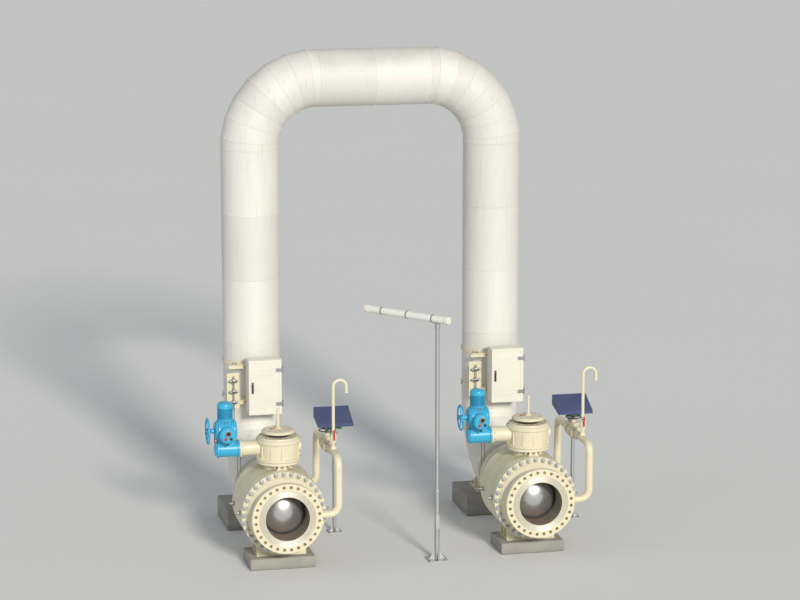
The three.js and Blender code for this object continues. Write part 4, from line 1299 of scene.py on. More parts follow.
def tray(shape, low, high, wall):
    """Adds a box with walls, open to the front."""
    outer_front, outer_back = (upright_loop(shape, low, high, y) for y in (low.y, high.y))
    inner_front, inner_back = (upright_loop(shape, low, high, y, wall) for y in (low.y, high.y - wall))
    for first, second in ((outer_front, outer_back), (inner_front, inner_back), (outer_front, inner_front)):
        skin(shape, first, second)
    shape.faces.new(outer_back)
    shape.faces.new(inner_back)


def upright_frame(shape, low, high, width):
    """Adds a flat frame that stands upright, as one closed ring of four bars."""
    corners = ((low.y, 0.0), (high.y, 0.0), (high.y, width), (low.y, width))
    loops = [upright_loop(shape, low, high, y, inset) for y, inset in corners]
    for first, second in zip(loops, [*loops[1:], loops[0]]):
        skin(shape, first, second)


def enclosure(place):
    """The open moulded box with its gasket and back plate."""
    name = place.name("enclosure")
    low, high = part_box(name)
    high.x = low.x + BOX_WIDTH
    low.y = high.y - BOX_DEPTH
    shape = bmesh.new()
    tray(shape, low, high, WALL)
    made(f"{name}_shell", shape, "shell", edge=0.009, steps=3, stands_for=[name])
    hinge_lugs(place, high.x)
    gasket = bmesh.new()
    inset = 0.006
    gasket_high = Vector((high.x - inset, low.y, high.z - inset))
    upright_frame(gasket, low + Vector((inset, -0.0028, inset)), gasket_high, 0.009)
    made(place.name("door_gasket"), gasket, "rubber", edge=0.001)
    panel = bmesh.new()
    face = high.y - WALL - BACK_PLATE
    block(panel, (low.x + 0.05, face, low.z + 0.06), (high.x - 0.05, face + BACK_PLATE, high.z - 0.06))
    made(place.name("back_plate"), panel, "galvanised", edge=0.001)
    levels = (low.z + 0.085, (low.z + high.z) / 2, high.z - 0.085)
    seats = [(Vector((x, face, z)), FRONT) for x in (low.x + 0.07, high.x - 0.07) for z in levels]
    bolts(place.name("back_plate_screws"), "steel", 0.006, seats)


def door_hinge(place):
    """The hinge's axis, from the frame's joint, and the feet of its two knuckles."""
    joint = next(j for j in frame["joints"] if j["name"] == f"{place.side}_door_hinge")
    low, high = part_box(place.name("enclosure"))
    inset = 0.13
    axis = Vector((joint["pos_m"][0], joint["pos_m"][1], 0))
    return axis, (low.z + inset, high.z - inset - KNUCKLE)


def hinge_lugs(place, wall):
    """The lugs and pins that stay on the enclosure's wall, above and below each knuckle."""
    axis, feet = door_hinge(place)
    lugs, pins = bmesh.new(), bmesh.new()
    for z in feet:
        for foot in (z - 0.016, z + KNUCKLE + 0.002):
            turn(lugs, cylinder(0.0115, 0, 0.014), axis + UP * foot, UP, 32)
            near, far = axis.y + 0.004, axis.y + 0.011
            block(lugs, (wall - 0.004, near, foot + 0.0004), (axis.x, far, foot + 0.0136))
        rod(pins, axis + UP * (z - 0.02), axis + UP * (z + KNUCKLE + 0.02), 0.0048, 16)
    made(place.name("hinge_lugs"), lugs, "steel", edge=0.0012)
    made(place.name("hinge_pins"), pins, "steel", edge=0.0008)


def door_leaf(place):
    """The corners of the door's moulded leaf, without its handle and hinges."""
    low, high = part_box(place.name("enclosure_door"))
    return Vector((low.x, low.y + 0.026, low.z)), Vector((low.x + BOX_WIDTH, low.y + 0.054, high.z))


def door_panel(place):
    """A moulded leaf with a raised border, shallow beads and a rim on its inside."""
    name = place.name("enclosure_door")
    low, high = door_leaf(place)
    lip, rim = low.y + LIP, 0.045
    shape = bmesh.new()
    block(shape, (low.x, lip, low.z), high)
    border = Vector((high.x - 0.001, lip + 0.002, high.z - 0.001))
    upright_frame(shape, low + Vector((0.001, 0, 0.001)), border, rim)
    for z in (low.z + 0.14, high.z - 0.14):
        block(shape, (low.x + 0.1, low.y + 0.003, z - 0.012), (high.x - 0.1, lip + 0.002, z + 0.012))
        block(shape, (low.x + 0.08, high.y - 0.002, z - 0.014), (high.x - 0.08, high.y + 0.005, z + 0.014))
    rim_low = Vector((low.x + rim, high.y - 0.002, low.z + rim))
    upright_frame(shape, rim_low, high + Vector((-rim, 0.009, -rim)), 0.013)
    made(f"{name}_panel", shape, "shell", body=f"{place.side}_door", stands_for=[name], edge=0.004, steps=3)


def door_hinges(place):
    """The knuckles round the pins, with their straps screwed to the door."""
    low, high = door_leaf(place)
    body = f"{place.side}_door"
    axis, feet = door_hinge(place)
    shape = bmesh.new()
    strap = axis.x - 0.009
    for z in feet:
        turn(shape, band(0.0065, 0.0118, 0, KNUCKLE), axis + UP * z, UP, 32)
        foot, head = z + 0.006, z + KNUCKLE - 0.006
        block(shape, (high.x - 0.09, low.y - 0.003, foot), (strap + 0.004, low.y + 0.002, head))
        ends = (foot + 0.0004, head - 0.0004)
        block(shape, (strap - 0.002, low.y - 0.0026, ends[0]), (strap + 0.0036, axis.y - 0.004, ends[1]))
    made(place.name("door_hinges"), shape, "steel", body=body, edge=0.001)
    seats = [(Vector((high.x - x, low.y - 0.003, z + 0.035)), FRONT) for z in feet for x in (0.07, 0.035)]
    bolts(place.name("door_hinge_screws"), "steel", 0.005, seats, body)


def door_handle(place):
    """The swing handle on its back plate, its lock, and the cam that it turns inside."""
    low, high = door_leaf(place)
    body = f"{place.side}_door"
    latch = Vector((low.x + 0.06, low.y, (low.z + high.z) / 2))
    shape = bmesh.new()
    # Back plate, lever, the lever's toe and its pivot: half width, near and far face, foot and head
    for half, near, far, foot, head in (
        (0.016, -0.008, 0.003, -0.09, 0.09),
        (0.011, -0.026, -0.012, -0.075, 0.04),
        (0.009, -0.014, -0.005, -0.072, -0.045),
        (0.012, -0.026, -0.004, 0.02, 0.05),
    ):
        block(shape, latch + Vector((-half, near, foot)), latch + Vector((half, far, head)))
    made(place.name("door_handle"), shape, "dark", body=body, edge=0.003)
    inside = Vector((latch.x, high.y, latch.z))
    shape = bmesh.new()
    spindle = [(0, 0), (0.014, 0), (0.014, 0.006), (0.008, 0.007), (0.008, 0.017), (0, 0.017)]
    turn(shape, spindle, inside + FRONT * 0.001, BACK, 6)
    block(shape, inside + Vector((-0.03, 0.0095, -0.01)), inside + Vector((0.012, 0.0125, 0.01)))
    made(place.name("door_cam"), shape, "steel", body=body, edge=0.0008)
    lock = [(0, 0), (0.009, 0), (0.009, 0.003), (0.004, 0.003), (0.004, 0.0015), (0, 0.0015)]
    lathe(place.name("door_lock"), "steel", lock, latch + Vector((0, -0.008, 0.072)), FRONT, body=body)


# Rack and manifold

CHANNEL = [
    (0, 0), (0.022, 0), (0.022, 0.06), (0, 0.06), (0, 0.05), (0.003, 0.05), (0.003, 0.057), (0.019, 0.057),
    (0.019, 0.003), (0.003, 0.003), (0.003, 0.01), (0, 0.01),
]
# Place of the manifold's valves, right of the leg's axis and in front of the rack
MANIFOLD_X = -0.39
MANIFOLD_OUT = 0.07
MANIFOLD_FOOT = 2.01
MANIFOLD_HEAD = 2.57
MANIFOLD_VALVES = 3
# Heights of the bands' feet, and the height of a band
BAND_LEVELS = (2.07, 2.64)
BAND = 0.06


def rack_back(place):
    """The plane against which the enclosure and the manifold are mounted."""
    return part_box(place.name("enclosure"))[1].y + 0.0005


def instrument_rack(place):
    """Bands round the leg, and the channels that hold the enclosure and the manifold off it."""
    name = place.name("instrument_rack")
    back = rack_back(place)
    box_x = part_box(place.name("enclosure"))[0].x + BOX_WIDTH / 2 - place.x
    skirt, outer = place.clad - bpy.context.scene.loop_sizes.bead, place.clad + 0.0095
    leg = place.point(0, place.y, 0)
    bars = (MANIFOLD_X + 0.06, box_x - 0.12, box_x + 0.12)
    ends = (MANIFOLD_X - 0.06, box_x + 0.17)
    shape = bmesh.new()
    for z in BAND_LEVELS:
        turn(shape, band(skirt, outer, z, z + BAND), leg, UP)
        plate(shape, CHANNEL, place.point(sum(ends) / 2, back, z), BACK, UP, ends[1] - ends[0])
        for x in bars:
            reach = place.y - math.sqrt(outer ** 2 - x ** 2) + 0.01 - back
            clamp = [
                (-0.025, 0.02), (0.025, 0.02), (0.025, reach), (0.019, reach), (0.019, 0.026),
                (-0.019, 0.026), (-0.019, reach), (-0.025, reach),
            ]
            plate(shape, clamp, place.point(x, back, z + BAND / 2), RIGHT, BACK, 0.052)
    upright = [(a, b * 0.05 / 0.06) for a, b in CHANNEL]
    foot, head = BAND_LEVELS[0], BAND_LEVELS[1] + BAND
    for x in bars[1:]:
        plate(shape, upright, place.point(x - 0.025, back, (foot + head) / 2), BACK, RIGHT, head - foot)
    made(f"{name}_steel", shape, "cream", stands_for=[name], edge=0.0008)
    seats = [
        (leg + UP * (z + h) + out * (outer + 0.001), out)
        for z in BAND_LEVELS for out in (RIGHT, LEFT) for h in (0.018, 0.042)
    ]
    bolts(place.name("band_bolts"), "galvanised", 0.009, seats)


def manifold(place):
    """Three instrument valves with their handles, on a folded plate."""
    back = rack_back(place)
    low, high = MANIFOLD_FOOT, MANIFOLD_HEAD
    shape = bmesh.new()
    left, right = place.x + MANIFOLD_X - 0.1, place.x + MANIFOLD_X + 0.1
    block(shape, (left, back - 0.006, low), (right, back + 0.001, high))
    for x in (left, right - 0.006):
        block(shape, (x, back - 0.014, low), (x + 0.006, back - 0.004, high))
    made(place.name("manifold_plate"), shape, "cream", edge=0.002)
    body = [(0, 0), (0.037, 0), (0.037, 0.085), (0.03, 0.095), (0.018, 0.098), (0, 0.098)]
    arm = [(0, 0.01), (0.014, 0.01), (0.014, 0.045), (0.02, 0.048), (0.02, 0.066), (0.012, 0.07), (0, 0.07)]
    bodies, handles = bmesh.new(), bmesh.new()
    for i in range(MANIFOLD_VALVES):
        mount = place.point(MANIFOLD_X, back, low + 0.11 + i * 0.17)
        turn(bodies, body, mount, FRONT, 6)
        turn(bodies, cylinder(0.013, 0.09, 0.118), mount, FRONT, 24)
        for out in (LEFT, RIGHT):
            turn(bodies, arm, mount + FRONT * MANIFOLD_OUT, out, 24)
        grip = mount + FRONT * (MANIFOLD_OUT + 0.056)
        rod(handles, grip + LEFT * 0.034, grip + RIGHT * 0.034, 0.0055, 12)
    foot, head = (place.point(MANIFOLD_X, back - MANIFOLD_OUT, z - 0.03) for z in (low, high))
    rod(bodies, foot, head, 0.0085, 20)
    made(place.name("manifold_valves"), bodies, "steel", edge=0.002)
    made(place.name("manifold_handles"), handles, "dark", edge=0.001)


def impulse_tubes(place):
    """Two tubes from the manifold down to bosses on the neck."""
    rack_y, neck_y = rack_back(place) - MANIFOLD_OUT, place.neck.y - 0.14
    boss = [(0, 0), (0.03, 0), (0.026, 0.024), (0.017, 0.032), (0.017, 0.04), (0, 0.04)]
    tubes, bosses = bmesh.new(), bmesh.new()
    # Place beside the leg, head, level run, and rise and end at the neck
    for x, head, level, rise, end in (
        (MANIFOLD_X, MANIFOLD_FOOT - 0.02, 1.44, 0.0, -0.34),
        (MANIFOLD_X - 0.045, MANIFOLD_FOOT + 0.11, 1.37, 0.1, -0.33),
    ):
        z = place.line_z + rise
        path = [
            place.point(x, rack_y, head), place.point(x, rack_y, level), place.point(x, neck_y, level),
            place.point(x, neck_y, z), place.point(end, neck_y, z),
        ]
        bent(tubes, path, 0.0065, 0.045, 12, 6)
        turn(tubes, cylinder(0.0125, 0, 0.034), path[-1] + LEFT * 0.05, RIGHT, 6)
        skin_x = -math.sqrt(PIPE ** 2 - rise ** 2)
        turn(bosses, boss, place.point(skin_x + 0.004, neck_y, z), LEFT, 32)
    made(place.name("impulse_tubes"), tubes, "steel")
    made(place.name("impulse_bosses"), bosses, "cream", edge=0.0015)


# Bypass line

# Place of the bypass, right of the leg's axis and above the ground
BYPASS_X = 0.8
BYPASS_Z = 1.75
# How far in front of the cladding's end the bypass leaves the neck
BYPASS_INLET = 0.17
# How far in front of the leg's axis the vent stands
VENT_AHEAD = 2.62
VENT_TOP = 2.86
# Radii
BYPASS_PIPE = 0.057
BYPASS_FLANGE = 0.095
VENT_PIPE = 0.0235
# From a bend's corner to its weld
WELD = 0.17


def bypass_line(place):
    """A small pipe from the neck over the valve to the outlet, with a boss at both ends."""
    name = place.name("bypass_line")
    inlet, outlet = place.neck.y - BYPASS_INLET, place.outlet + FLANGE + 0.04
    shape = bmesh.new()
    corners = [
        place.point(0.33, inlet, place.line_z), place.point(BYPASS_X, inlet, place.line_z),
        place.point(BYPASS_X, inlet, BYPASS_Z), place.point(BYPASS_X, outlet, BYPASS_Z),
        place.point(BYPASS_X, outlet, place.line_z), place.point(0.39, outlet, place.line_z),
    ]
    bent(shape, corners, BYPASS_PIPE, 0.15, 40, 10)
    boss = [(0, 0), (0.092, 0), (0.086, 0.04), (0.066, 0.085), (0.06, 0.1), (0, 0.1)]
    for y, hub in ((inlet, PIPE), (outlet, HUB)):
        turn(shape, boss, place.point(hub - 0.03, y, place.line_z), RIGHT, 48)
    root = BYPASS_PIPE - 0.002
    bead = [(root, -0.006), (BYPASS_PIPE + 0.0028, 0), (root, 0.006), (root, -0.006)]
    for y, inner in ((inlet, FRONT), (outlet, BACK)):
        corner = place.point(BYPASS_X, y, BYPASS_Z)
        turn(shape, bead, corner + DOWN * WELD, UP, 40)
        turn(shape, bead, corner + inner * WELD, FRONT, 40)
    made(f"{name}_pipe", shape, "cream", stands_for=[name], sharp=35)
    bypass_valve(place, place.point(BYPASS_X, (inlet + outlet) / 2, BYPASS_Z))
    vent_riser(place, place.point(BYPASS_X, place.y - VENT_AHEAD, BYPASS_Z))


def bypass_valve(place, centre):
    """A small flanged valve with its bonnet and handwheel."""
    shape = bmesh.new()
    flange = BYPASS_FLANGE
    half = [
        (0.105, 0.0), (0.105, 0.036), (0.097, 0.056), (0.072, 0.1), (0.07, 0.116), (flange, 0.12),
        (flange, 0.1475), (0, 0.1475),
    ]
    turn(shape, mirrored(half), centre, FRONT, 64)
    mate = [(0, 0), (flange, 0), (flange, 0.026), (0.068, 0.03), (0.06, 0.055), (0, 0.055)]
    for out in (BACK, FRONT):
        turn(shape, mate, centre + out * 0.1515, out, 64)
    profile = [
        (0, 0.05), (0.07, 0.05), (0.07, 0.112), (0.086, 0.116), (0.086, 0.134), (0.05, 0.138), (0.034, 0.15),
        (0.034, 0.19), (0.02, 0.194), (0.012, 0.2), (0.012, 0.22), (0, 0.22),
    ]
    turn(shape, profile, centre, UP, 48)
    made(place.name("bypass_valve"), shape, "cream", edge=0.003)
    shape = bmesh.new()
    hub = centre + UP * 0.21
    plane, rim = hub + UP * 0.0125, 0.12
    turn(shape, wheel_rim(rim, 0.009, 12), plane, UP, 64)
    turn(shape, [(0, 0), (0.022, 0), (0.022, 0.02), (0.012, 0.025), (0, 0.025)], hub, UP, 32)
    for out in ring(Vector(), (RIGHT, BACK), 1, 3):
        rod(shape, plane + out * 0.01, plane + out * rim, 0.007, 12)
    made(place.name("bypass_wheel"), shape, "dark", edge=0.001, sharp=50)
    for i, out in enumerate((BACK, FRONT)):
        joint = centre + out * 0.1495
        studs(place.name(f"bypass_studs_{i + 1}"), joint, 8, 0.081, 0.0065, 0.0115, 0.055)
    seats = ring_seats(centre + UP * 0.134, UP, 0.074, 6)
    bolts(place.name("bypass_bonnet_bolts"), "galvanised", 0.009, seats)


def vent_riser(place, foot):
    """A thin pipe with a goose neck and a small hand valve."""
    shape = bmesh.new()
    reach, drop = 0.2, 0.2
    head = Vector((foot.x, foot.y, VENT_TOP))
    over = head + RIGHT * reach
    bent(shape, [foot, head, over, over + DOWN * drop], VENT_PIPE, 0.098, 28, 10)
    turn(shape, [(0, 0.04), (0.05, 0.04), (0.046, 0.07), (0.028, 0.1), (0, 0.1)], foot, UP, 32)
    turn(shape, cylinder(0.029, -0.012, 0.01), over + DOWN * (drop - 0.012), UP, 28)
    for level in (0.14, 0.268):
        turn(shape, cylinder(0.037, 0, 0.032), foot + UP * level, UP, 6)
    valve = [(0, 0.165), (0.044, 0.17), (0.048, 0.19), (0.048, 0.25), (0.044, 0.27), (0, 0.275)]
    turn(shape, valve, foot, UP, 32)
    spindle = foot + UP * 0.22
    rod(shape, spindle, spindle + FRONT * 0.075, 0.013, 20)
    made(place.name("vent_riser"), shape, "cream", edge=0.0015)
    lever = bmesh.new()
    block(lever, foot + Vector((-0.012, -0.082, 0.2)), foot + Vector((0.012, -0.076, 0.36)))
    made(place.name("vent_lever"), lever, "red", edge=0.002)


# Transmitter

POST_TOP = 1.56
# Radius of the transmitter's end caps
CAP = 0.068


def transmitter_post(place):
    """A post on a small base plate, with an arm back to the upright that carries the sunshade."""
    name = place.name("transmitter_post")
    low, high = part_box(name)
    half, base, radius = 0.11, 0.014, 0.03
    x, y, arm = (low.x + high.x) / 2, low.y + half, POST_TOP - 0.06
    centre = Vector((x, y, 0))
    shape = bmesh.new()
    block(shape, (x - half, y - half, 0), (x + half, y + half, base))
    pole = [(0, 0.01), (radius, 0.01), (radius, POST_TOP - 0.004), (radius - 0.004, POST_TOP), (0, POST_TOP)]
    turn(shape, pole, centre, UP, 40)
    gussets(shape, centre, radius - 0.004, 0.085, (0.012, 0.02, 0.1), 0.006)
    block(shape, (x - 0.015, y, arm), (x + 0.015, y + 0.249, arm + 0.04))
    block(shape, (x - 0.016, y + 0.238, arm - 0.012), (x + 0.016, y + 0.25, high.z))
    brace = [(0.02, -0.13), (0.034, -0.13), (0.16, -0.004), (0.16, 0.01), (0.14, 0.01), (0.02, -0.11)]
    plate(shape, brace, centre + UP * arm, BACK, UP, 0.012)
    made(f"{name}_steel", shape, "galvanised", stands_for=[name], edge=0.0025)
    anchors(place.name("post"), centre + UP * (base + 0.0015), (0.085, 0.085), 0.011, 0.006, 0.028, "steel")


def transmitter(place):
    """The two-ended electronics housing over its pressure cell."""
    name = place.name("transmitter")
    low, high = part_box(name)
    centre = middle(name)
    centre.z = high.z - CAP
    foot = Vector((centre.x, centre.y, low.z))
    half, reach = (high.x - low.x) / 2, (high.y - low.y) / 2
    shape = bmesh.new()
    end = [
        (0.056, 0), (0.056, half - 0.056), (0.066, half - 0.052), (CAP, half - 0.044), (CAP, half - 0.014),
        (0.06, half - 0.004), (0.046, half), (0, half),
    ]
    turn(shape, mirrored(end), centre, RIGHT, 64)
    neck = [(0, 0), (0.038, 0), (0.038, 0.012), (0.026, 0.02), (0.026, 0.12), (0.04, 0.13), (0, 0.16)]
    turn(shape, neck, foot, UP, 48)
    made(f"{name}_housing", shape, "green", stands_for=[name], edge=0.003)
    values = {"Count": 28, "Circle": CAP - 0.0015, "Size": (0.004, 0.004, 0.024), "Facing": (1.0, 0.0, 0.0)}
    caps = [centre + out * (half - 0.029) for out in (LEFT, RIGHT)]
    grown(place.name("cap_grips"), "ribs", "green", values, caps)
    cell = foot + UP * 0.06
    shape = bmesh.new()
    body = [
        (0.03, 0), (0.03, 0.022), (0.047, 0.026), (0.047, reach - 0.03), (0.04, reach - 0.022),
        (0, reach - 0.022),
    ]
    turn(shape, mirrored(body), cell, FRONT, 48)
    made(place.name("pressure_cell"), shape, "steel", edge=0.002)
    seats = []
    for out in (FRONT, BACK):
        seats += ring_seats(cell + out * (reach - 0.026), out, 0.037, 4, math.pi / 4)
    bolts(place.name("cell_bolts"), "galvanised", 0.0075, seats)
    window = [(0, 0), (0.038, 0), (0.036, 0.002), (0, 0.0025)]
    lathe(place.name("display_window"), "glass", window, centre + LEFT * (half - 0.0028), LEFT)


def sunshade(place):
    """A folded sheet roof with side cheeks, hung on the post's upright."""
    name = place.name("sunshade")
    low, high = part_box(name)
    front, back, top, thick = low.y, high.y, high.z, 0.006
    eaves = top - 0.19
    shape = bmesh.new()
    section = [
        (front, eaves - 0.05), (front, eaves), (back, top), (back, top - 0.15), (back - thick, top - 0.15),
        (back - thick, top - thick * 1.3), (front + thick, eaves - thick * 1.1),
        (front + thick, eaves - 0.05),
    ]
    centre = RIGHT * ((low.x + high.x) / 2)
    plate(shape, section, centre, BACK, UP, high.x - low.x - thick)
    cheek = [(front, eaves - 0.06), (front, eaves - 0.002), (back, top - 0.002), (back, top - 0.16)]
    for x in (low.x + thick / 2, high.x - thick / 2):
        plate(shape, cheek, RIGHT * x, BACK, UP, thick)
    made(f"{name}_sheet", shape, "navy", stands_for=[name], edge=0.0025, steps=3)
    seats = [(Vector((centre.x + x, back - thick, top - 0.075)), FRONT) for x in (-0.008, 0.008)]
    bolts(place.name("shade_bolts"), "steel", 0.006, seats)


# Lamp

# Radius of the pole's foot
POLE = 0.038
# Share of the lamp's length that reaches forward past the pole
LAMP_NEAR_SHARE = 0.14


def lamp_pole():
    """A stepped pole on a base plate, with a small door near its foot."""
    low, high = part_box("lamp_pole")
    centre = middle("lamp_pole")
    centre.z = 0
    half, base = (high.x - low.x) / 2, 0.02
    upper, step = POLE - 0.005, POLE + 0.004
    shape = bmesh.new()
    block(shape, (low.x, low.y, 0), (high.x, high.y, base))
    profile = [
        (0, 0.01), (POLE, 0.01), (POLE, 1.05), (step, 1.06), (step, 1.1), (upper, 1.12), (upper, high.z),
        (0, high.z),
    ]
    turn(shape, profile, centre, UP, 48)
    gussets(shape, centre, POLE - 0.004, half - 0.03, (base - 0.002, base + 0.01, 0.16), 0.008)
    block(shape, centre + Vector((-0.028, -0.043, 0.5)), centre + Vector((0.028, -0.034, 0.72)))
    made("lamp_pole_steel", shape, "galvanised", stands_for=["lamp_pole"], edge=0.002)
    inset = half - 0.035
    anchors("lamp", centre + UP * (base + 0.0015), (inset, inset), 0.014, 0.008, 0.036)


def tube_lamp():
    """A sealed tube light with end caps, clips and the bracket that sits on the pole."""
    low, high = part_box("tube_lamp")
    centre, pole = middle("tube_lamp"), middle("lamp_pole")
    pole.z = centre.z
    along = (pole - centre).normalized()
    radius, length = (high.z - low.z) / 2, (pole - centre).length / (0.5 - LAMP_NEAR_SHARE)
    far_end, near_end = centre - along * (length / 2), centre + along * (length / 2)
    glass, seal = radius - 0.004, radius - 0.006
    cover = [
        (0, 0.05), (seal, 0.05), (glass, 0.06), (glass, length - 0.06), (seal, length - 0.05),
        (0, length - 0.05),
    ]
    lathe("lamp_cover", "lamp", cover, far_end, along, stands_for=["tube_lamp"], edge=0.002)
    caps = bmesh.new()
    cap = [
        (0, 0), (radius * 0.7, 0), (radius * 0.92, 0.008), (radius, 0.022), (radius, 0.075),
        (radius - 0.008, 0.08), (0, 0.08),
    ]
    for end, out in ((far_end, along), (near_end, -along)):
        turn(caps, cap, end, out)
    made("lamp_end_caps", caps, "shell", edge=0.002)
    clips = bmesh.new()
    for share in (0.2, 0.5, 0.8):
        turn(clips, band(radius - 0.005, radius, 0, 0.022), far_end + along * (length * share), along)
    made("lamp_clips", clips, "steel", edge=0.0008)
    bracket = bmesh.new()
    foot = Vector((pole.x, pole.y, low.z))
    channel = [
        (-0.06, 0.0005), (0.06, 0.0005), (0.06, 0.05), (0.054, 0.05), (0.054, 0.012), (-0.054, 0.012),
        (-0.054, 0.05), (-0.06, 0.05),
    ]
    plate(bracket, channel, foot, along, UP, 0.09)
    turn(bracket, cylinder(0.041, -0.09, 0.002), foot, UP, 40)
    made("lamp_bracket", bracket, "galvanised", edge=0.0015)


# Stage


def lay_floor(reach):
    shape = bmesh.new()
    corners = [(-reach, -reach), (reach, -reach), (reach, reach), (-reach, reach)]
    shape.faces.new([shape.verts.new((x, y, 0)) for x, y in corners])
    floor = solid("studio_floor", shape)
    paint = Paint("studio_floor")
    cloud = paint.noise(0.15, 2.0)
    pale = paint.mix(cloud * 0.3, (0.80, 0.80, 0.78, 1), (0.76, 0.76, 0.74, 1))
    floor.data.materials.append(paint.close(Base_Color=pale, Roughness=0.9))


def set_sky():
    world = bpy.data.worlds.new("studio")
    world.use_nodes = True
    sky = world.node_tree.nodes["Background"]
    sky.inputs["Color"].default_value = (0.88, 0.93, 1.0, 1)
    sky.inputs["Strength"].default_value = 0.38
    bpy.context.scene.world = world
    bpy.context.scene.view_settings.view_transform = "Standard"


def level_way(azimuth):
    """The level way that leads from the loop to something at that azimuth, 0 being the front."""
    return Vector((math.sin(azimuth), -math.cos(azimuth), 0))


def add_sun(name, azimuth, rise, strength, colour, spread):
    """A distant light from the given azimuth and rise above the ground."""
    light = bpy.data.lights.new(name, "SUN")
    light.energy = strength
    light.color = colour
    light.angle = spread
    sun = bpy.data.objects.new(name, light)
    toward = level_way(azimuth) * math.cos(rise) + UP * math.sin(rise)
    sun.rotation_euler = toward.to_track_quat("Z", "Y").to_euler()
    sun.location = toward * 30
    bpy.context.scene.collection.objects.link(sun)


def add_camera(sizes):
    """The photograph's viewpoint, with a longer lens so that the object fills the frame."""
    run = middle("top_run")
    spot = run + level_way(sizes.view_azimuth) * sizes.view_distance
    spot.z = sizes.view_height
    low, high = (Vector(corner) for corner in CAD_BOX)
    camera = bpy.data.objects.new("camera", bpy.data.cameras.new("camera"))
    camera.data.lens = sizes.view_lens
    camera.data.clip_end = 1000
    camera.location = spot
    camera.rotation_euler = ((low + high) / 2 - spot).to_track_quat("-Z", "Y").to_euler()
    bpy.context.scene.collection.objects.link(camera)
    bpy.context.scene.camera = camera


# Sizes and colours that a user may change


def length_property(name, description, default):
    return FloatProperty(name=name, description=description, default=default, unit="LENGTH")


def angle_property(name, description, default):
    return FloatProperty(name=name, description=description, default=default, subtype="ANGLE")


def colour_property(name, description, default):
    return FloatVectorProperty(
        name=name, description=description, subtype="COLOR", size=3, min=0, max=1, default=default
    )


class LoopSizes(bpy.types.PropertyGroup):
    """Sizes of the cladding, fasteners, edges and viewpoint."""

    sheet: length_property("Sheet", "Longest cladding sheet", 1.05)
    bead: length_property("Bead", "Radius of the swaged bead at a lap", 0.006)
    screw: length_property("Screw", "Radius of a cladding screw's head", 0.006)
    screws: IntProperty(name="Screws", description="Screws round one lap", default=18, min=4)
    screw_row: angle_property("Screw row", "Turn from a lap to its row of screws", 0.05)
    screw_pitch: length_property("Screw pitch", "Step between screws along a lap", 0.15)
    seam_stagger: angle_property(
        "Seam stagger", "Turn of the lengthwise laps to either side of the back", math.radians(24)
    )
    collar: length_property("Collar", "Thickness of the end ring of the cladding", 0.004)
    flange_bolts: IntProperty(
        name="Flange studs", description="Studs round a line flange", default=28, min=4
    )
    bolt_circle: length_property("Bolt circle", "Radius of the line flange's bolt circle", 0.4825)
    stud: length_property("Stud", "Radius of a line flange stud", 0.0222)
    nut: length_property("Nut", "Corner radius of a line flange nut", 0.04)
    casting_edge: length_property("Casting edge", "Rounding of the edges of castings", 0.006)
    concrete_edge: length_property("Concrete edge", "Chamfer of the plinths", 0.022)
    floor: length_property("Floor", "Reach of the studio floor", 700.0)
    view_azimuth: angle_property("View azimuth", "Camera azimuth, 0 being the front", math.radians(-12))
    view_distance: length_property("View distance", "Level distance from camera to loop", 42.4)
    view_height: length_property("View height", "Camera height", 12.0)
    view_lens: FloatProperty(
        name="Lens", description="Focal length in millimetres", default=122.0, unit="CAMERA"
    )


class LoopColours(bpy.types.PropertyGroup):
    """Linear base colours of the finishes."""

    cladding: colour_property("Cladding", "Sheet cladding", (0.82, 0.795, 0.735))
    cream: colour_property("Cream", "Paint of the valves and steelwork", (0.80, 0.73, 0.53))
    blue: colour_property("Blue", "Paint of the actuators", (0.045, 0.44, 0.70))
    shell: colour_property("Shell", "Moulded enclosures", (0.83, 0.80, 0.70))
    concrete: colour_property("Concrete", "Plinths", (0.42, 0.40, 0.36))
    navy: colour_property("Navy", "Sunshades", (0.055, 0.075, 0.19))
    green: colour_property("Green", "Transmitters", (0.10, 0.33, 0.14))
    zinc: colour_property("Zinc", "Galvanised steel", (0.55, 0.56, 0.56))
    lamp: colour_property("Lamp", "Lamp cover", (0.86, 0.85, 0.79))
    steel: colour_property("Steel", "Bare steel", (0.42, 0.42, 0.42))
    polished: colour_property("Polished", "Valve balls", (0.66, 0.66, 0.64))
    oiled: colour_property("Oiled", "Oiled bores", (0.27, 0.21, 0.16))
    dark: colour_property("Dark", "Dark fittings", (0.035, 0.035, 0.038))
    red: colour_property("Red", "Levers and pointers", (0.5, 0.035, 0.02))


# Steps of the build


def at_both_stations(*makers):
    """Runs the makers in order at the left station and then at the right one."""
    for side in SIDES:
        place = Station(side)
        for make in makers:
            make(place)
    return {"FINISHED"}


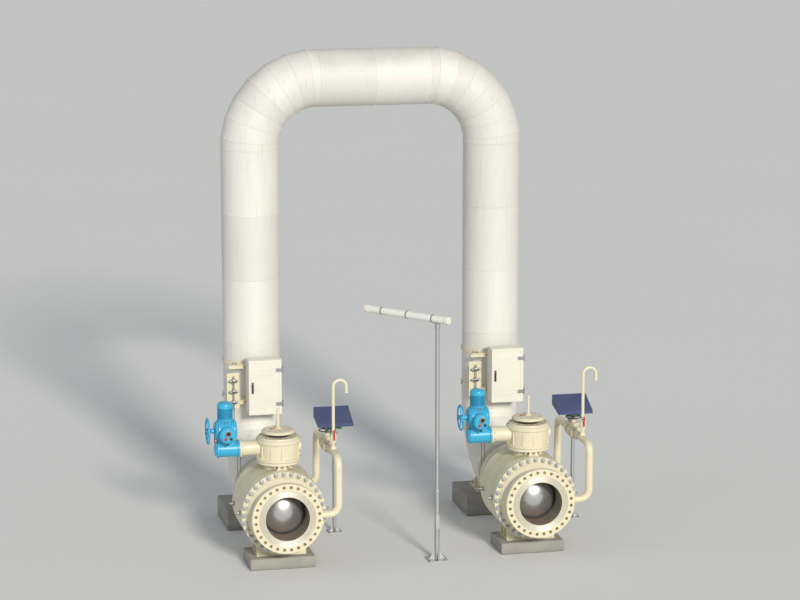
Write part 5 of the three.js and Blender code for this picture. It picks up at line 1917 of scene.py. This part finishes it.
class MixFinishes(bpy.types.Operator):
    """Builds the finishes and the trees that repeat fasteners and ribs"""

    bl_idname = "pipe_loop.mix_finishes"
    bl_label = "Mix Finishes"

    def execute(self, context):
        colours = context.scene.loop_colours
        FINISHES.update({
            "cladding": cladding_finish(colours.cladding),
            "cream": coat_finish("cream_paint", colours.cream, (0.36, 0.30, 0.19)),
            "blue": coat_finish("blue_paint", colours.blue, (0.20, 0.27, 0.30), 0.3, 0.25),
            "shell": shell_finish(colours.shell),
            "concrete": concrete_finish(colours.concrete),
            "navy": coat_finish("navy_paint", colours.navy, (0.16, 0.16, 0.18), 0.4, 0.3),
            "green": coat_finish("green_paint", colours.green, (0.24, 0.26, 0.20), 0.35, 0.3),
            "galvanised": metal_finish("galvanised_steel", colours.zinc, 0.42, 60.0),
            "lamp": lamp_finish(colours.lamp),
            "steel": metal_finish("bare_steel", colours.steel, 0.3, 220.0),
            "polished": metal_finish("polished_steel", colours.polished, 0.2, 300.0, 0.04),
            "oiled": coat_finish("oiled_bore", colours.oiled, (0.12, 0.075, 0.05), 0.42, 0.5),
            "dark": coat_finish("dark_fittings", colours.dark, (0.12, 0.11, 0.10), 0.45, 0.3),
            "rubber": coat_finish("black_rubber", colours.dark, (0.14, 0.13, 0.12), 0.75, 0.4),
            "red": coat_finish("red_levers", colours.red, (0.25, 0.12, 0.10), 0.35, 0.25),
            "glass": coat_finish("dial_glass", colours.dark, (0.08, 0.09, 0.10), 0.08, 0.1),
        })
        TREES.update({
            "clad": clad_tree(),
            "seam": seam_tree(),
            "stud": stud_tree(),
            "bolt": bolt_tree(),
            "fins": fin_tree(),
            "ribs": rib_tree(),
        })
        return {"FINISHED"}


class BuildCladding(bpy.types.Operator):
    """Dresses the legs, bends and top run in lapped sheet cladding"""

    bl_idname = "pipe_loop.build_cladding"
    bl_label = "Build Cladding"

    def execute(self, context):
        clad_top_run()
        return at_both_stations(clad_station)


class BuildSupports(bpy.types.Operator):
    """Makes the plinths, the stub supports and the valve saddles"""

    bl_idname = "pipe_loop.build_supports"
    bl_label = "Build Supports"

    def execute(self, context):
        return at_both_stations(foot_support, valve_saddle)


class BuildValves(bpy.types.Operator):
    """Makes the flanges, valve bodies, closed balls and their fasteners"""

    bl_idname = "pipe_loop.build_valves"
    bl_label = "Build Valves"

    def execute(self, context):
        return at_both_stations(
            inlet_flange, valve_body, valve_outlet, valve_ball, valve_fasteners, valve_fittings
        )


class BuildTopWorks(bpy.types.Operator):
    """Makes the bonnets and the worm gear drums with their position caps"""

    bl_idname = "pipe_loop.build_top_works"
    bl_label = "Build Top Works"

    def execute(self, context):
        return at_both_stations(bonnet, gear_drum)


class BuildActuators(bpy.types.Operator):
    """Makes the electric actuators and their handwheels"""

    bl_idname = "pipe_loop.build_actuators"
    bl_label = "Build Actuators"

    def execute(self, context):
        return at_both_stations(actuator, handwheel)


class BuildEnclosures(bpy.types.Operator):
    """Makes the instrument enclosures, their doors, and the racks with their manifolds"""

    bl_idname = "pipe_loop.build_enclosures"
    bl_label = "Build Enclosures"

    def execute(self, context):
        return at_both_stations(
            enclosure, door_panel, door_hinges, door_handle, instrument_rack, manifold, impulse_tubes
        )


class BuildBypasses(bpy.types.Operator):
    """Makes the small-bore lines round the valves, with their valves and vent risers"""

    bl_idname = "pipe_loop.build_bypasses"
    bl_label = "Build Bypasses"

    def execute(self, context):
        return at_both_stations(bypass_line)


class BuildTransmitters(bpy.types.Operator):
    """Makes the transmitters, their posts and their sunshades"""

    bl_idname = "pipe_loop.build_transmitters"
    bl_label = "Build Transmitters"

    def execute(self, context):
        return at_both_stations(transmitter_post, transmitter, sunshade)


class BuildLamp(bpy.types.Operator):
    """Makes the tube lamp and its pole"""

    bl_idname = "pipe_loop.build_lamp"
    bl_label = "Build Lamp"

    def execute(self, context):
        lamp_pole()
        tube_lamp()
        return {"FINISHED"}


class SetStage(bpy.types.Operator):
    """Lays the studio floor and sets the lights and the camera"""

    bl_idname = "pipe_loop.set_stage"
    bl_label = "Set Stage"

    def execute(self, context):
        sizes = context.scene.loop_sizes
        lay_floor(sizes.floor)
        set_sky()
        for name, turn_degrees, rise, strength, colour, spread in (
            ("key_light", 20, 22, 2.6, (1.0, 0.965, 0.89), 10),
            ("fill_light", -70, 30, 0.25, (0.9, 0.95, 1.0), 30),
        ):
            azimuth = sizes.view_azimuth + math.radians(turn_degrees)
            add_sun(name, azimuth, math.radians(rise), strength, colour, math.radians(spread))
        add_camera(sizes)
        return {"FINISHED"}


STEPS = (
    MixFinishes,
    BuildCladding,
    BuildSupports,
    BuildValves,
    BuildTopWorks,
    BuildActuators,
    BuildEnclosures,
    BuildBypasses,
    BuildTransmitters,
    BuildLamp,
    SetStage,
)


class PipeLoopPanel(bpy.types.Panel):
    """Lists the sizes, the colours and the steps of the build"""

    bl_idname = "VIEW3D_PT_pipe_loop"
    bl_label = "Pipe Loop"
    bl_space_type = "VIEW_3D"
    bl_region_type = "UI"
    bl_category = "Pipe Loop"

    def draw(self, context):
        for group in (context.scene.loop_sizes, context.scene.loop_colours):
            column = self.layout.column()
            for key in type(group).__annotations__:
                column.prop(group, key)
        for step in STEPS:
            self.layout.operator(step.bl_idname)


CLASSES = (LoopSizes, LoopColours, *STEPS, PipeLoopPanel)


def register():
    for kind in CLASSES:
        bpy.utils.register_class(kind)
    bpy.types.Scene.loop_sizes = PointerProperty(type=LoopSizes)
    bpy.types.Scene.loop_colours = PointerProperty(type=LoopColours)


def unregister():
    del bpy.types.Scene.loop_colours
    del bpy.types.Scene.loop_sizes
    for kind in reversed(CLASSES):
        bpy.utils.unregister_class(kind)


def main():
    register()
    for step in STEPS:
        group, action = step.bl_idname.split(".")
        getattr(getattr(bpy.ops, group), action)()


if __name__ == "__main__":
    main()
